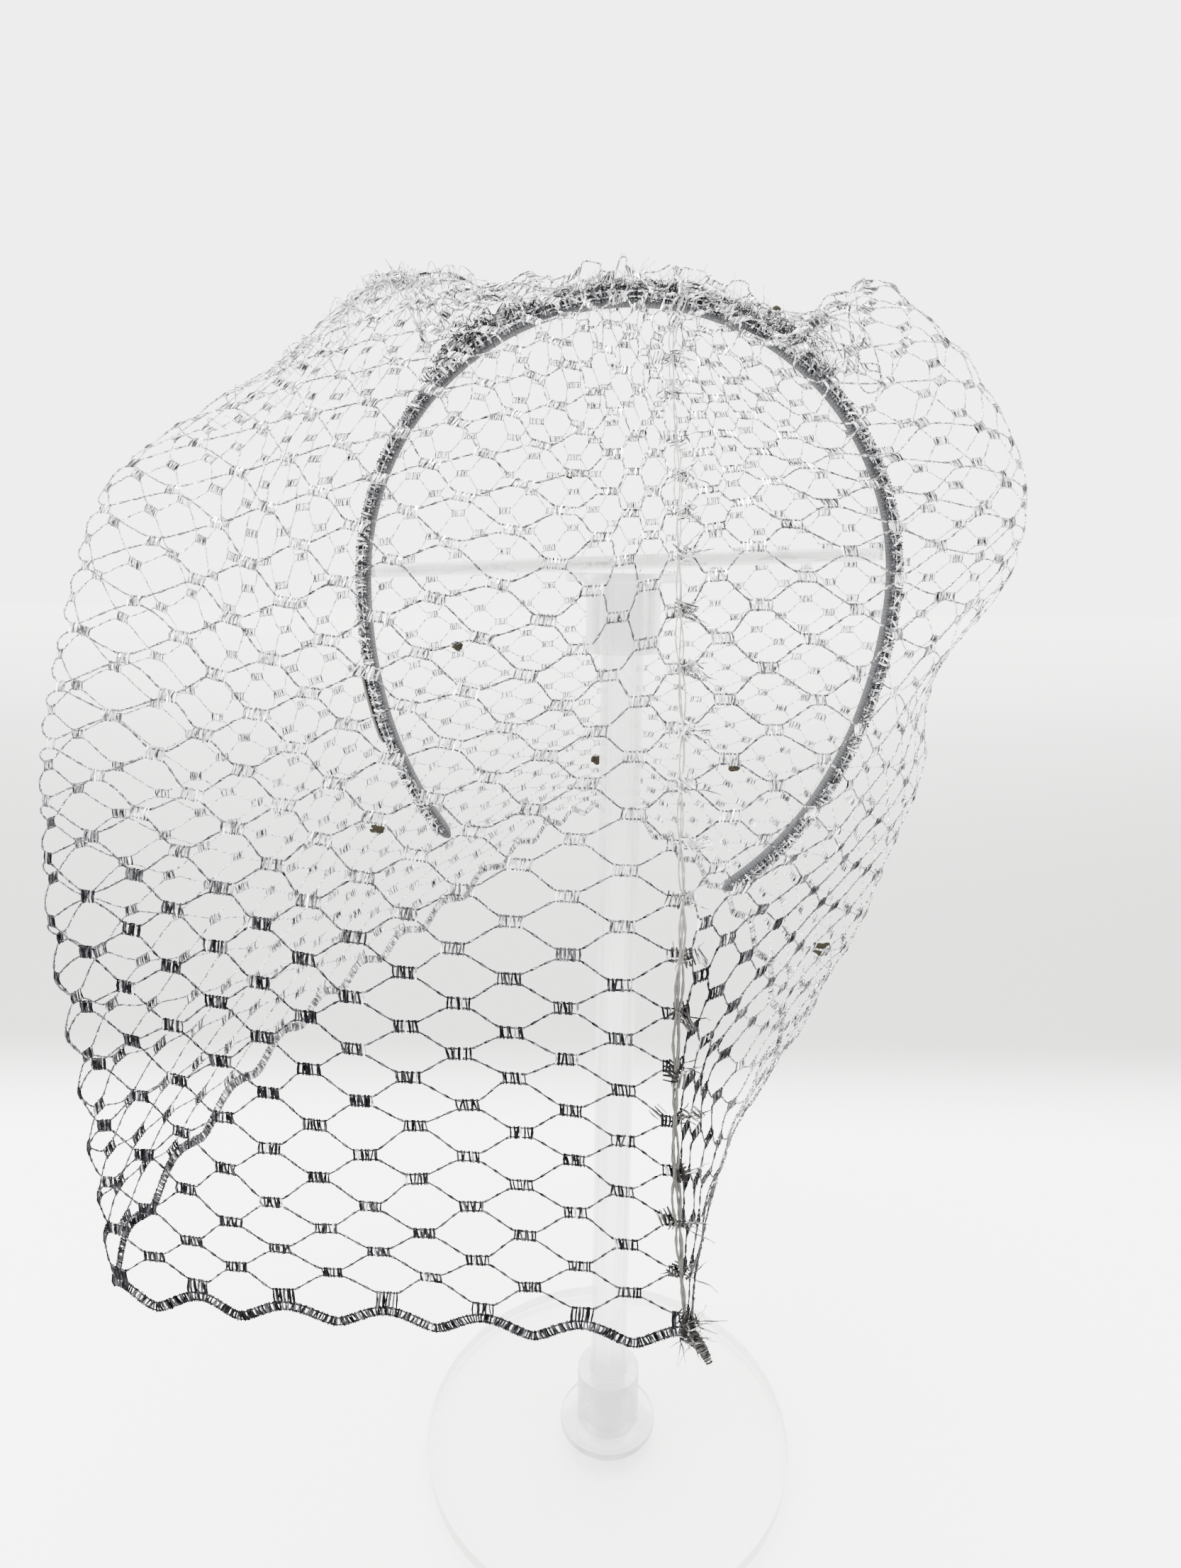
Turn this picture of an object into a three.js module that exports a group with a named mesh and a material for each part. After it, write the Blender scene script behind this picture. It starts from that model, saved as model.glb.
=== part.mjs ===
// A full veil of coarse silver net, gathered and sewn to a ribbon-wrapped headband,
// on the clear disc of a small display stand. Lengths are millimetres, +Z is up, and the
// origin is the centre of the base's underside. The side that faces the viewer is -Y.
import * as THREE from 'three';
import { mergeVertices } from 'three/addons/utils/BufferGeometryUtils.js';

// Fit between pieces that touch
const CLEARANCE = 0.3;

// Display stand
const BASE_RADIUS = 59;
const BASE_THICK = 4.5;
const BASE_CHAMFER = 0.6;
const POST_RADIUS = 5.8;
const POST_WALL = 2;
const DISC_LEVEL = 282;
const DISC_RADIUS = 65.5;
const DISC_THICK = 3;
const DISC_LEAN = THREE.MathUtils.degToRad(2.6);
const FLANGE_RADIUS = 15.5;
const FLANGE_THICK = 2.4;
const SOCKET_RADIUS = 10;
const SOCKET_HEIGHT = 21;
const STAND_SIDES = 40;
const POST_SIDES = 24;

// Headband: an oval arc in an upright plane, a little in front of the post
const BAND_WIDE = 6;
const BAND_THICK = 3;
const BAND_AHEAD = 9;
const BAND_SHIFT = 0.9;
const BAND_RISE = 68;
const BAND_TAIL = 91;
const BAND_DROP = 6.2;
const BAND_TURN = THREE.MathUtils.degToRad(3.5);
const LEFT_TIP = THREE.MathUtils.degToRad(-140.5);
const RIGHT_TIP = THREE.MathUtils.degToRad(151);
const TIP_TAPER = THREE.MathUtils.degToRad(4);
const TIP_LEAST = 0.28;
const BAND_CORNERS = 0.6;
const BAND_STEPS = 44;

// Trim on the headband
const SELVEDGE_WIDE = 2.4;
const SELVEDGE_THICK = 1;
const RUCHE_WIDE = 6;
const RUCHE_HIGH = 4.6;
const RUCHE_LUMPS = 9;
const RUCHE_DEPTH = 0.14;
const RUCHE_SHARE = 0.8;
const RUCHE_STEPS = 28;
const SEWN_SLACK = 0.9;
const SEWN_ANGLE = THREE.MathUtils.degToRad(42);
const CORE_THICK = 0.9;
const CORE_WIDE = 3.4;
const CORE_FROM = THREE.MathUtils.degToRad(-119);
const CORE_TO = THREE.MathUtils.degToRad(-106);

// Veil: one cut of netting, closed in front by a seam
const VEIL_REACH = 100;
const NET_WIDTH = 235;
const NET_WALL = 1.4;
const CELLS_ROUND = 12;
const ROWS_DOWN = 9;
const GAP_SHARE = 0.86;
const EDGE_GAP_SHARE = 0.72;
const SCALLOPS = 33;
const HEM_RADIUS = 1;
const HEM_WAVE = 4;
const HEM_SLACK = 0.3;
const HEM_OPEN = 0.004;
const HEM_STEPS = 5;
const SEAM_RADIUS = 0.7;
const SEAM_SLACK = 0.3;
const SEAM_FROM = 0.03;
const SEAM_TO = 0.985;
const SEAM_STEPS = 40;
const KNOT_RADIUS = 3;
const KNOT_LENGTH = 11;
const KNOT_LEAN = THREE.MathUtils.degToRad(26.5);

// How far down the net's width each level of the table below lies
const LEVELS = [0, 0.09, 0.21, 0.35, 0.5, 0.66, 0.83, 1];

// The veil's meridians, in order from the seam round by the left, the back and the right.
// round: share of the net's length. sewn: where the top edge is sewn, as a share of the sewn
// angle, and side: -1 in front of the band, 1 behind it. Then one [across, back, up] for each
// level below the sewn edge: shares of the reach, of the reach, and of the net's width,
// measured from the middle of the disc.
const MERIDIANS = [
  { name: 'seam', round: 0, sewn: 0.17, side: -1, points: [
    [0.09, -0.27, 0.209], [0.09, -0.48, 0.098], [0.08, -0.72, -0.005], [0.085, -0.84, -0.14],
    [0.085, -0.95, -0.285], [0.085, -0.98, -0.46], [0.12, -1, -0.634]] },
  { name: 'front', round: 0.05, sewn: -0.07, side: -1, points: [
    [-0.03, -0.28, 0.209], [-0.1, -0.49, 0.106], [-0.16, -0.72, 0.004], [-0.22, -0.85, -0.132],
    [-0.25, -0.96, -0.277], [-0.22, -0.99, -0.46], [-0.19, -0.97, -0.638]] },
  { name: 'cheek', round: 0.1, sewn: -0.33, side: -1, points: [
    [-0.19, -0.25, 0.23], [-0.31, -0.45, 0.145], [-0.46, -0.64, 0.038], [-0.56, -0.82, -0.106],
    [-0.61, -0.94, -0.268], [-0.56, -0.98, -0.46], [-0.5, -0.95, -0.636]] },
  { name: 'left cheek', round: 0.155, sewn: -0.64, side: -1, points: [
    [-0.42, -0.17, 0.264], [-0.64, -0.35, 0.183], [-0.81, -0.54, 0.064], [-0.93, -0.74, -0.094],
    [-0.97, -0.86, -0.272], [-0.9, -0.93, -0.468], [-0.83, -0.93, -0.634]] },
  { name: 'left fold', round: 0.205, sewn: -0.95, side: -1, points: [
    [-0.57, -0.06, 0.287], [-0.86, -0.12, 0.191], [-1.2, -0.24, 0.083], [-1.29, -0.45, -0.102],
    [-1.26, -0.62, -0.289], [-1.14, -0.78, -0.498], [-1.08, -0.85, -0.626]] },
  { name: 'left', round: 0.32, sewn: -1.08, side: 0, points: [
    [-0.59, 0.07, 0.298], [-0.87, 0.16, 0.204], [-1.13, 0.18, 0.085], [-1.24, 0.1, -0.094],
    [-1.18, -0.02, -0.281], [-1.05, -0.1, -0.438], [-0.95, -0.16, -0.562]] },
  { name: 'left back', round: 0.45, sewn: -0.6, side: 1, points: [
    [-0.36, 0.13, 0.298], [-0.63, 0.36, 0.221], [-0.88, 0.47, 0.094], [-0.97, 0.5, -0.077],
    [-0.91, 0.49, -0.234], [-0.78, 0.47, -0.391], [-0.64, 0.44, -0.506]] },
  { name: 'back', round: 0.614, sewn: -0.07, side: 1, points: [
    [-0.04, 0.18, 0.281], [0, 0.5, 0.2], [0, 0.8, 0.085], [0, 1, -0.081],
    [-0.02, 1.14, -0.213], [-0.04, 1.22, -0.332], [-0.06, 1.28, -0.426]] },
  { name: 'right back', round: 0.75, sewn: 0.52, side: 1, points: [
    [0.35, 0.17, 0.268], [0.56, 0.39, 0.213], [0.71, 0.53, 0.085], [0.76, 0.6, -0.064],
    [0.69, 0.65, -0.213], [0.55, 0.64, -0.362], [0.41, 0.59, -0.489]] },
  { name: 'right', round: 0.85, sewn: 1.08, side: 0, points: [
    [0.58, 0.02, 0.289], [0.81, 0.03, 0.247], [1.04, 0.04, 0.106], [1.03, 0.04, -0.034],
    [0.83, 0, -0.255], [0.66, -0.05, -0.426], [0.47, -0.1, -0.557]] },
  { name: 'right cheek', round: 0.92, sewn: 0.8, side: -1, points: [
    [0.33, -0.25, 0.217], [0.45, -0.36, 0.136], [0.61, -0.47, 0.043], [0.59, -0.5, -0.094],
    [0.49, -0.52, -0.255], [0.37, -0.52, -0.447], [0.27, -0.49, -0.596]] },
  { name: 'right seam side', round: 0.965, sewn: 0.4, side: -1, points: [
    [0.18, -0.28, 0.204], [0.24, -0.46, 0.111], [0.3, -0.69, 0.013], [0.31, -0.75, -0.119],
    [0.27, -0.8, -0.264], [0.21, -0.8, -0.455], [0.17, -0.78, -0.621]] },
];

// Places where a stitch pulls the net in, as shares of its length and width
const TACKS = [
  { name: 'right tack', round: 0.862, down: 0.565, spanRound: 0.04, spanDown: 0.06, pull: 0.11 },
];

const SEAM_SLOT = 2 * (SEAM_RADIUS + CLEARANCE + SEAM_SLACK) + NET_WALL;
const TAU = 2 * Math.PI;

// Linear steps from a to b, both included
function steps(a, b, count) {
  return Array.from({ length: count + 1 }, (_, i) => a + ((b - a) * i) / count);
}

// Smooth curve through uneven knots: cubic pieces whose slopes are those between neighbours
function spline(knots, values, t) {
  let i = 0;
  while (i < knots.length - 2 && t > knots[i + 1]) i += 1;
  const span = knots[i + 1] - knots[i];
  const s = (t - knots[i]) / span;
  const slope = (k) => {
    const before = Math.max(k - 1, 0);
    const after = Math.min(k + 1, knots.length - 1);
    return values[after].clone().sub(values[before]).divideScalar(knots[after] - knots[before]);
  };
  return values[i].clone().multiplyScalar(1 + s * s * (2 * s - 3))
    .addScaledVector(values[i + 1], s * s * (3 - 2 * s))
    .addScaledVector(slope(i), span * s * (s - 1) * (s - 1))
    .addScaledVector(slope(i + 1), span * s * s * (s - 1));
}

// A solid from vertices and triangles, with shared vertices merged
function solid(vertices, triangles) {
  const geometry = new THREE.BufferGeometry();
  const flat = vertices.flatMap((p) => [p.x, p.y, p.z]);
  geometry.setAttribute('position', new THREE.Float32BufferAttribute(flat, 3));
  geometry.setIndex(triangles.flat());
  const merged = mergeVertices(geometry, 1e-4);
  merged.computeVertexNormals();
  return merged;
}

// A solid skinned over rings of points, each ring turning right-handed about the route.
// Its ends are closed by fans.
function loft(rings) {
  const sides = rings[0].length;
  const vertices = rings.flat();
  const triangles = [];
  for (let r = 0; r + 1 < rings.length; r += 1) {
    for (let k = 0; k < sides; k += 1) {
      const a = r * sides + k;
      const b = r * sides + ((k + 1) % sides);
      triangles.push([a, b, b + sides], [a, b + sides, a + sides]);
    }
  }
  for (const [ring, start] of [[rings[0], 0], [rings.at(-1), (rings.length - 1) * sides]]) {
    const middle = new THREE.Vector3();
    ring.forEach((p) => middle.addScaledVector(p, 1 / sides));
    vertices.push(middle);
    for (let k = 0; k < sides; k += 1) {
      const edge = [start + k, start + ((k + 1) % sides)];
      if (start === 0) edge.reverse();
      triangles.push([...edge, vertices.length - 1]);
    }
  }
  return solid(vertices, triangles);
}

// A turned solid about the vertical axis from a profile of [radius, height]
function turned(profile, sides) {
  const geometry = new THREE.LatheGeometry(profile.map(([r, h]) => new THREE.Vector2(r, h)), sides);
  geometry.deleteAttribute('normal');
  geometry.deleteAttribute('uv');
  return mergeVertices(geometry.rotateX(Math.PI / 2), 1e-4);
}

const MATERIALS = {
  acrylic: { color: 0xe9edee, roughness: 0.08, metalness: 0, transparent: true, opacity: 0.45 },
  ribbon: { color: 0x83868c, roughness: 0.85, metalness: 0 },
  core: { color: 0x2c1f18, roughness: 0.25, metalness: 0 },
  silver: { color: 0xc9ccd0, roughness: 0.35, metalness: 0.8 },
  thread: { color: 0x8d9094, roughness: 0.7, metalness: 0.1 },
};

const veilHeaddress = new THREE.Group();

function place(name, geometry, finish, parent = veilHeaddress) {
  const mesh = new THREE.Mesh(geometry, new THREE.MeshStandardMaterial(MATERIALS[finish]));
  mesh.name = name;
  parent.add(mesh);
}

// Display stand: base, two like fittings, tube and the disc that the band grips
function discProfile(radius, thick, chamfer) {
  return [[0, 0], [radius - chamfer, 0], [radius, chamfer], [radius, thick - chamfer],
    [radius - chamfer, thick], [0, thick]];
}

function fittingProfile() {
  const bore = POST_RADIUS + CLEARANCE;
  return [[bore, 0], [FLANGE_RADIUS, 0], [FLANGE_RADIUS, FLANGE_THICK],
    [SOCKET_RADIUS, FLANGE_THICK], [SOCKET_RADIUS, SOCKET_HEIGHT], [bore, SOCKET_HEIGHT], [bore, 0]];
}

const discUnderside = DISC_LEVEL - DISC_THICK / 2 / Math.cos(DISC_LEAN);
const topFlangeLevel = discUnderside - CLEARANCE - FLANGE_RADIUS * Math.tan(DISC_LEAN);
const postFrom = BASE_THICK + CLEARANCE;
const postInner = POST_RADIUS - POST_WALL;

place('stand_base', turned(discProfile(BASE_RADIUS, BASE_THICK, BASE_CHAMFER), STAND_SIDES), 'acrylic');
place('foot_fitting', turned(fittingProfile(), POST_SIDES).translate(0, 0, postFrom), 'acrylic');
place('post', turned([[postInner, postFrom], [POST_RADIUS, postFrom], [POST_RADIUS, topFlangeLevel],
  [postInner, topFlangeLevel], [postInner, postFrom]], POST_SIDES), 'acrylic');
const topFitting = turned(fittingProfile(), POST_SIDES).rotateX(Math.PI).translate(0, 0, topFlangeLevel);
place('top_fitting', topFitting, 'acrylic');
const topDisc = turned(discProfile(DISC_RADIUS, DISC_THICK, BASE_CHAMFER), STAND_SIDES)
  .translate(0, 0, -DISC_THICK / 2).rotateY(-DISC_LEAN).translate(0, 0, DISC_LEVEL);
place('top_disc', topDisc, 'acrylic');

// The headband's centreline: half an ellipse over the disc and a longer one below it, so wide
// that its left inner face lies against the disc's rim
const rimAtBand = Math.sqrt(DISC_RADIUS ** 2 - (BAND_AHEAD - BAND_WIDE / 2) ** 2);
const bandHalf = rimAtBand + CLEARANCE + BAND_THICK / 2 + BAND_SHIFT;

function bandPoint(angle, out = 0, ahead = 0) {
  const height = Math.abs(angle) < Math.PI / 2 ? BAND_RISE : BAND_TAIL;
  const normal = new THREE.Vector2(Math.sin(angle) / bandHalf, Math.cos(angle) / height).normalize();
  const flat = new THREE.Vector2(bandHalf * Math.sin(angle), height * Math.cos(angle))
    .addScaledVector(normal, out)
    .rotateAround(new THREE.Vector2(), -BAND_TURN);
  return new THREE.Vector3(flat.x + BAND_SHIFT, -BAND_AHEAD - ahead, DISC_LEVEL - BAND_DROP + flat.y);
}

// A trim along the band: an oval section that stands out and ahead of the centreline
function bandTrim(angles, sides, { out, ahead, wide, high, size = () => 1, square = 1 }) {
  return angles.map((angle) => steps(0, TAU, sides).slice(0, -1).map((turn) => {
    const c = Math.sign(Math.cos(turn)) * Math.abs(Math.cos(turn)) ** square;
    const s = Math.sign(Math.sin(turn)) * Math.abs(Math.sin(turn)) ** square;
    const scale = size(angle);
    return bandPoint(angle, out - (s * scale * high) / 2, ahead + (c * scale * wide) / 2);
  }));
}

function tipSize(angle) {
  const fromTip = Math.min(angle - LEFT_TIP, RIGHT_TIP - angle) / TIP_TAPER;
  return fromTip >= 1 ? 1 : Math.max(TIP_LEAST, Math.sqrt(fromTip * (2 - fromTip)));
}

const bandAngles = [LEFT_TIP, LEFT_TIP + TIP_TAPER / 4,
  ...steps(LEFT_TIP + TIP_TAPER, RIGHT_TIP - TIP_TAPER, BAND_STEPS), RIGHT_TIP - TIP_TAPER / 4,
  RIGHT_TIP];
place('headband', loft(bandTrim(bandAngles, 10, {
  out: 0,
  ahead: 0,
  wide: BAND_WIDE,
  high: BAND_THICK,
  size: tipSize,
  square: BAND_CORNERS,
})), 'ribbon');

const selvedgeAngles = steps(LEFT_TIP + TIP_TAPER, RIGHT_TIP - TIP_TAPER, BAND_STEPS);
place('band_selvedge', loft(bandTrim(selvedgeAngles, 6, {
  out: (BAND_THICK - SELVEDGE_WIDE) / 2,
  ahead: (BAND_WIDE + SELVEDGE_THICK) / 2 + CLEARANCE,
  wide: SELVEDGE_THICK,
  high: SELVEDGE_WIDE,
})), 'silver');

const rucheOut = (BAND_THICK + RUCHE_HIGH) / 2 + CLEARANCE;
const rucheTo = SEWN_ANGLE * RUCHE_SHARE;
function rucheLump(angle) {
  return 1 - RUCHE_DEPTH + RUCHE_DEPTH * Math.cos((angle / SEWN_ANGLE) * RUCHE_LUMPS * Math.PI);
}
place('gathered_edge', loft(bandTrim(steps(-rucheTo, rucheTo, RUCHE_STEPS), 8, {
  out: rucheOut,
  ahead: 0,
  wide: RUCHE_WIDE,
  high: RUCHE_HIGH,
  size: rucheLump,
})), 'silver');

place('band_core', loft(bandTrim(steps(CORE_FROM, CORE_TO, 6), 8, {
  out: (BAND_THICK + CORE_THICK) / 2 + CLEARANCE,
  ahead: (CORE_WIDE - BAND_WIDE) / 2,
  wide: CORE_WIDE,
  high: CORE_THICK,
})), 'core');

// The veil's middle surface: round is the share of its length from the seam, down the share of
// its width from the sewn edge
function meridian({ sewn, side, points }) {
  const edge = bandPoint(sewn * SEWN_ANGLE, rucheOut + CLEARANCE,
    -side * (RUCHE_WIDE / 2 + NET_WALL / 2 + SEWN_SLACK));
  const below = points.map(([across, back, up]) =>
    new THREE.Vector3(across * VEIL_REACH, back * VEIL_REACH, DISC_LEVEL + up * NET_WIDTH));
  return [edge, ...below];
}

const meridianRounds = [...MERIDIANS.map((row) => row.round), 1];
const meridianPoints = MERIDIANS.map(meridian);
const seamLeft = new THREE.Vector3(-SEAM_SLOT / 2, 0, 0);
const seamRight = (down) => new THREE.Vector3(SEAM_SLOT / 2, (SEAM_SLOT / 2) * down, 0);
const seamLine = meridianPoints[0].map((p) => p.clone());
meridianPoints.push(seamLine.map((p, level) => p.clone().add(seamRight(LEVELS[level]))));
meridianPoints[0] = seamLine.map((p) => p.clone().add(seamLeft));

function veil(round, down) {
  const across = meridianPoints.map((line) => spline(LEVELS, line, down));
  const point = spline(meridianRounds, across, round);
  for (const tack of TACKS) {
    const far = ((round - tack.round) / tack.spanRound) ** 2 + ((down - tack.down) / tack.spanDown) ** 2;
    const pull = tack.pull * Math.exp(-far);
    point.x *= 1 - pull;
    point.y *= 1 - pull;
  }
  return point;
}

function veilNormal(round, down) {
  const step = 0.004;
  const [a, b] = [Math.max(round - step, 0), Math.min(round + step, 1)];
  const [c, d] = [Math.max(down - step, 0), Math.min(down + step, 1)];
  const alongRound = veil(b, down).sub(veil(a, down));
  const alongDown = veil(round, d).sub(veil(round, c));
  return alongRound.cross(alongDown).normalize();
}

// The net as one pierced wall: diamonds in staggered rows, each with a gap of its own shape.
// The diamonds that its edges cut in half keep a strip along the edge, and those along the
// sewn edge, where the net is gathered tight, stay whole.
function pierced() {
  const vertices = [];
  const found = new Map();
  const triangles = [];
  const skins = [NET_WALL / 2, -NET_WALL / 2];
  const vertex = ([cell, row], skin) => {
    const key = `${cell.toFixed(4)},${row.toFixed(4)},${skin}`;
    if (!found.has(key)) {
      const [round, down] = [cell / CELLS_ROUND, row / ROWS_DOWN];
      found.set(key, vertices.length);
      vertices.push(veil(round, down).addScaledVector(veilNormal(round, down), skins[skin]));
    }
    return found.get(key);
  };
  const facet = (points) => {
    const outer = points.map((p) => vertex(p, 0));
    const inner = points.map((p) => vertex(p, 1));
    for (let k = 1; k + 1 < points.length; k += 1) {
      triangles.push([outer[0], outer[k], outer[k + 1]], [inner[0], inner[k + 1], inner[k]]);
    }
  };
  const wall = (p, q) => {
    const [a, b, c, d] = [vertex(p, 0), vertex(q, 0), vertex(p, 1), vertex(q, 1)];
    triangles.push([a, b, d], [a, d, c]);
  };
  const between = (p, q, share) => [p[0] + (q[0] - p[0]) * share, p[1] + (q[1] - p[1]) * share];
  const onEdge = (p, q) => (p[0] === q[0] && (p[0] === 0 || p[0] === CELLS_ROUND))
    || (p[1] === q[1] && (p[1] === 0 || p[1] === ROWS_DOWN));
  for (let row = 0; row <= ROWS_DOWN; row += 1) {
    for (let cell = (row % 2) / 2; cell <= CELLS_ROUND; cell += 1) {
      const diamond = [[cell + 0.5, row], [cell, row + 1], [cell - 0.5, row], [cell, row - 1]];
      const corners = diamond.map(([c, r]) => [
        THREE.MathUtils.clamp(c, 0, CELLS_ROUND), THREE.MathUtils.clamp(r, 0, ROWS_DOWN)]);
      const outline = [];
      corners.forEach((p, k) => {
        const q = corners[(k + 1) % corners.length];
        if (p[0] === q[0] && p[1] === q[1]) return;
        outline.push(p);
        if (onEdge(p, q)) wall(q, p);
        else outline.push(between(p, q, 0.5));
      });
      const centre = [0, 1].map((axis) => outline.reduce((sum, p) => sum + p[axis], 0) / outline.length);
      const cut = outline.length < 8;
      const share = cut ? EDGE_GAP_SHARE : GAP_SHARE;
      const gap = outline.map((p) => between(centre, p, share));
      outline.forEach((p, k) => {
        const next = (k + 1) % outline.length;
        if (row === 0) {
          facet([centre, p, outline[next]]);
        } else {
          facet([p, outline[next], gap[next], gap[k]]);
          wall(gap[k], gap[next]);
        }
      });
    }
  }
  return solid(vertices, triangles);
}
place('veil_net', pierced(), 'silver');

// Round tube of changing radius along a list of points
function tube(points, radiusAt, sides) {
  const route = new THREE.CatmullRomCurve3(points);
  const frames = route.computeFrenetFrames(points.length - 1, false);
  return loft(points.map((_, i) => {
    const centre = points[i];
    return steps(0, TAU, sides).slice(0, -1).map((turn) => centre.clone()
      .addScaledVector(frames.normals[i], radiusAt(i) * Math.cos(turn))
      .addScaledVector(frames.binormals[i], radiusAt(i) * Math.sin(turn)));
  }));
}

// Hem: the net's overcast edge, a scalloped cord whose peaks meet the net
function hemPoint(round) {
  const edge = veil(round, 1);
  const down = edge.clone().sub(veil(round, 0.98)).normalize();
  const wave = (HEM_WAVE * (1 - Math.cos(TAU * SCALLOPS * round))) / 2;
  return edge.addScaledVector(down, HEM_RADIUS + CLEARANCE + HEM_SLACK + wave);
}
const hemPoints = steps(HEM_OPEN, 1 - HEM_OPEN, SCALLOPS * HEM_STEPS).map(hemPoint);
place('hem', tube(hemPoints, () => HEM_RADIUS, 6), 'silver');

// Seam: the thread that closes the net in front, in the slot between its two edges
const seamCurve = (down) => spline(LEVELS, seamLine, down);
const seamPoints = steps(SEAM_FROM, SEAM_TO, SEAM_STEPS).map(seamCurve);
place('seam_thread', tube(seamPoints, () => SEAM_RADIUS, 6), 'thread');

// Knot and cut tail at the foot of the seam, leaning to the right. Shares of the knot's length
// and radius.
const KNOT_SHAPE = [
  { down: 0, thick: 0.25 }, { down: 0.14, thick: 0.8 }, { down: 0.32, thick: 1 },
  { down: 0.5, thick: 0.75 }, { down: 0.75, thick: 0.5 }, { down: 1, thick: 0.2 },
];
const knotTop = seamCurve(1).add(new THREE.Vector3(0, 0, -CLEARANCE));
const knotWay = new THREE.Vector3(Math.sin(KNOT_LEAN), 0, -Math.cos(KNOT_LEAN));
const knotPoints = KNOT_SHAPE.map(({ down }) => (
  knotTop.clone().addScaledVector(knotWay, down * KNOT_LENGTH)));
place('seam_knot', tube(knotPoints, (i) => KNOT_SHAPE[i].thick * KNOT_RADIUS, 8), 'silver');

export default veilHeaddress;
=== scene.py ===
# %% [markdown]
# ## A silver net veil on its clear stand
# The piece is a full veil: one length of wide-meshed silver netting, gathered on the crest of a
# ribbon-wrapped headband and closed by a seam in front. The headband grips the disc of a small
# clear stand. The solids of the construction are loaded as a fixed frame, and every surface made
# below sits on them. All sizes are in millimetres until a mesh is written, as they are on the
# workbench.

# %% Load the frame
import bmesh
import bpy
import numpy as np
from mathutils import Matrix, Vector


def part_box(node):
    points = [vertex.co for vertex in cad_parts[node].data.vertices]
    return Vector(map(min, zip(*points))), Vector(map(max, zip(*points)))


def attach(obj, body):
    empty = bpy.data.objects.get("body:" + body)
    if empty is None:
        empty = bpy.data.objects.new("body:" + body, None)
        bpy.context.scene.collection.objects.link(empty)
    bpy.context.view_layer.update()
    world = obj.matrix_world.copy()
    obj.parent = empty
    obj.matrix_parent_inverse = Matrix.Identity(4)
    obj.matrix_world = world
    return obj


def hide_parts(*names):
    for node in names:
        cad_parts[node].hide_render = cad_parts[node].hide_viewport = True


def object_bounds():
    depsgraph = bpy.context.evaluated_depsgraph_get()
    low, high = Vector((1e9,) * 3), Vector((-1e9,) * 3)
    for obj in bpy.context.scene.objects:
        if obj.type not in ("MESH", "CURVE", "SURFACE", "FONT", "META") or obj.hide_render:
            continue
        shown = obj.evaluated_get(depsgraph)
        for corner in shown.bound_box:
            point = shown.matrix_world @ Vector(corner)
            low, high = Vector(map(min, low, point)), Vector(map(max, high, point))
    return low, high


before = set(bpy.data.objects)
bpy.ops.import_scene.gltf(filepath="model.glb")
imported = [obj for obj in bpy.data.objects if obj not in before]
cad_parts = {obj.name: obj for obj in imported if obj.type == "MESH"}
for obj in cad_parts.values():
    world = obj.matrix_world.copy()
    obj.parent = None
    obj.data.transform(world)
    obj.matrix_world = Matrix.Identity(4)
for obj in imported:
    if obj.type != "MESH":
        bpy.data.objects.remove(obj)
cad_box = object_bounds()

MM = 0.001


def extent(node):
    """Lowest and highest corner of a node of the frame, in millimetres."""
    low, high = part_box(node)
    return np.array(low) / MM, np.array(high) / MM


cad_size = np.ptp(np.array(cad_box), axis=0) / MM
print("frame:", len(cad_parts), "nodes,", cad_size.round(1), "mm")

# %% [markdown]
# ## Camera
# The stand is a set of circles round one axis, so its ellipses in a picture tell where the eye
# was: about 253 mm in front of the post and level with the disc, looking 13 degrees down. A
# camera's own axes are right, up and backwards, so its matrix is made of those three directions
# and its place.

# %% Camera
PICTURE_WIDE = 1666
FOCAL_PIXELS = 1308
SENSOR_WIDE = 36
EYE = np.array([-8.24, -252.91, 280.91])
TILT_DOWN = 0.2297
ROLL = 0.0125


def placed(name, data):
    """A new object of the scene for a camera, a mesh or a light."""
    thing = bpy.data.objects.new(name, data)
    bpy.context.scene.collection.objects.link(thing)
    return thing


forward = np.array([0, np.cos(TILT_DOWN), -np.sin(TILT_DOWN)])
level_right = np.array([1.0, 0, 0])
level_up = np.cross(level_right, forward)
right = level_right * np.cos(ROLL) + level_up * np.sin(ROLL)
up = level_up * np.cos(ROLL) - level_right * np.sin(ROLL)

camera_data = bpy.data.cameras.new("portrait_camera")
camera_data.sensor_fit = "HORIZONTAL"
camera_data.sensor_width = SENSOR_WIDE
camera_data.lens = SENSOR_WIDE * FOCAL_PIXELS / PICTURE_WIDE
camera_data.clip_start = 0.01
camera = placed("portrait_camera", camera_data)
pose = np.eye(4)
pose[:3, :3] = np.stack([right, up, -forward], axis=1)
pose[:3, 3] = EYE * MM
camera.matrix_world = Matrix(pose.tolist())
bpy.context.scene.camera = camera
print("camera: lens", round(camera_data.lens, 2), "mm")

# %% [markdown]
# ## Meshes from arrays
# Everything here is made of many like strips, so one helper takes whole arrays: corners, then
# faces of four corners each. foreach_set copies an array into the mesh in one step, where a loop
# over a million values would take minutes. Nearly every surface is a grid whose columns come round
# again, so its faces come from one helper too. Each corner also carries a number called shade,
# which the yarn's finish reads as how bright that bit of foil is. The helper that writes a piece
# also says what it rides on, its material's slot and, where it has one, the solid it replaces.

# %% Mesh helper
def join(parts):
    """One set of corners, faces and shades from several: faces count on from earlier corners."""
    starts = np.cumsum([0] + [len(corners) for corners, _, _ in parts[:-1]])
    corners = np.concatenate([part[0] for part in parts])
    faces = np.concatenate([part[1] + start for part, start in zip(parts, starts)])
    return corners, faces, np.concatenate([part[2] for part in parts])


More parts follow.
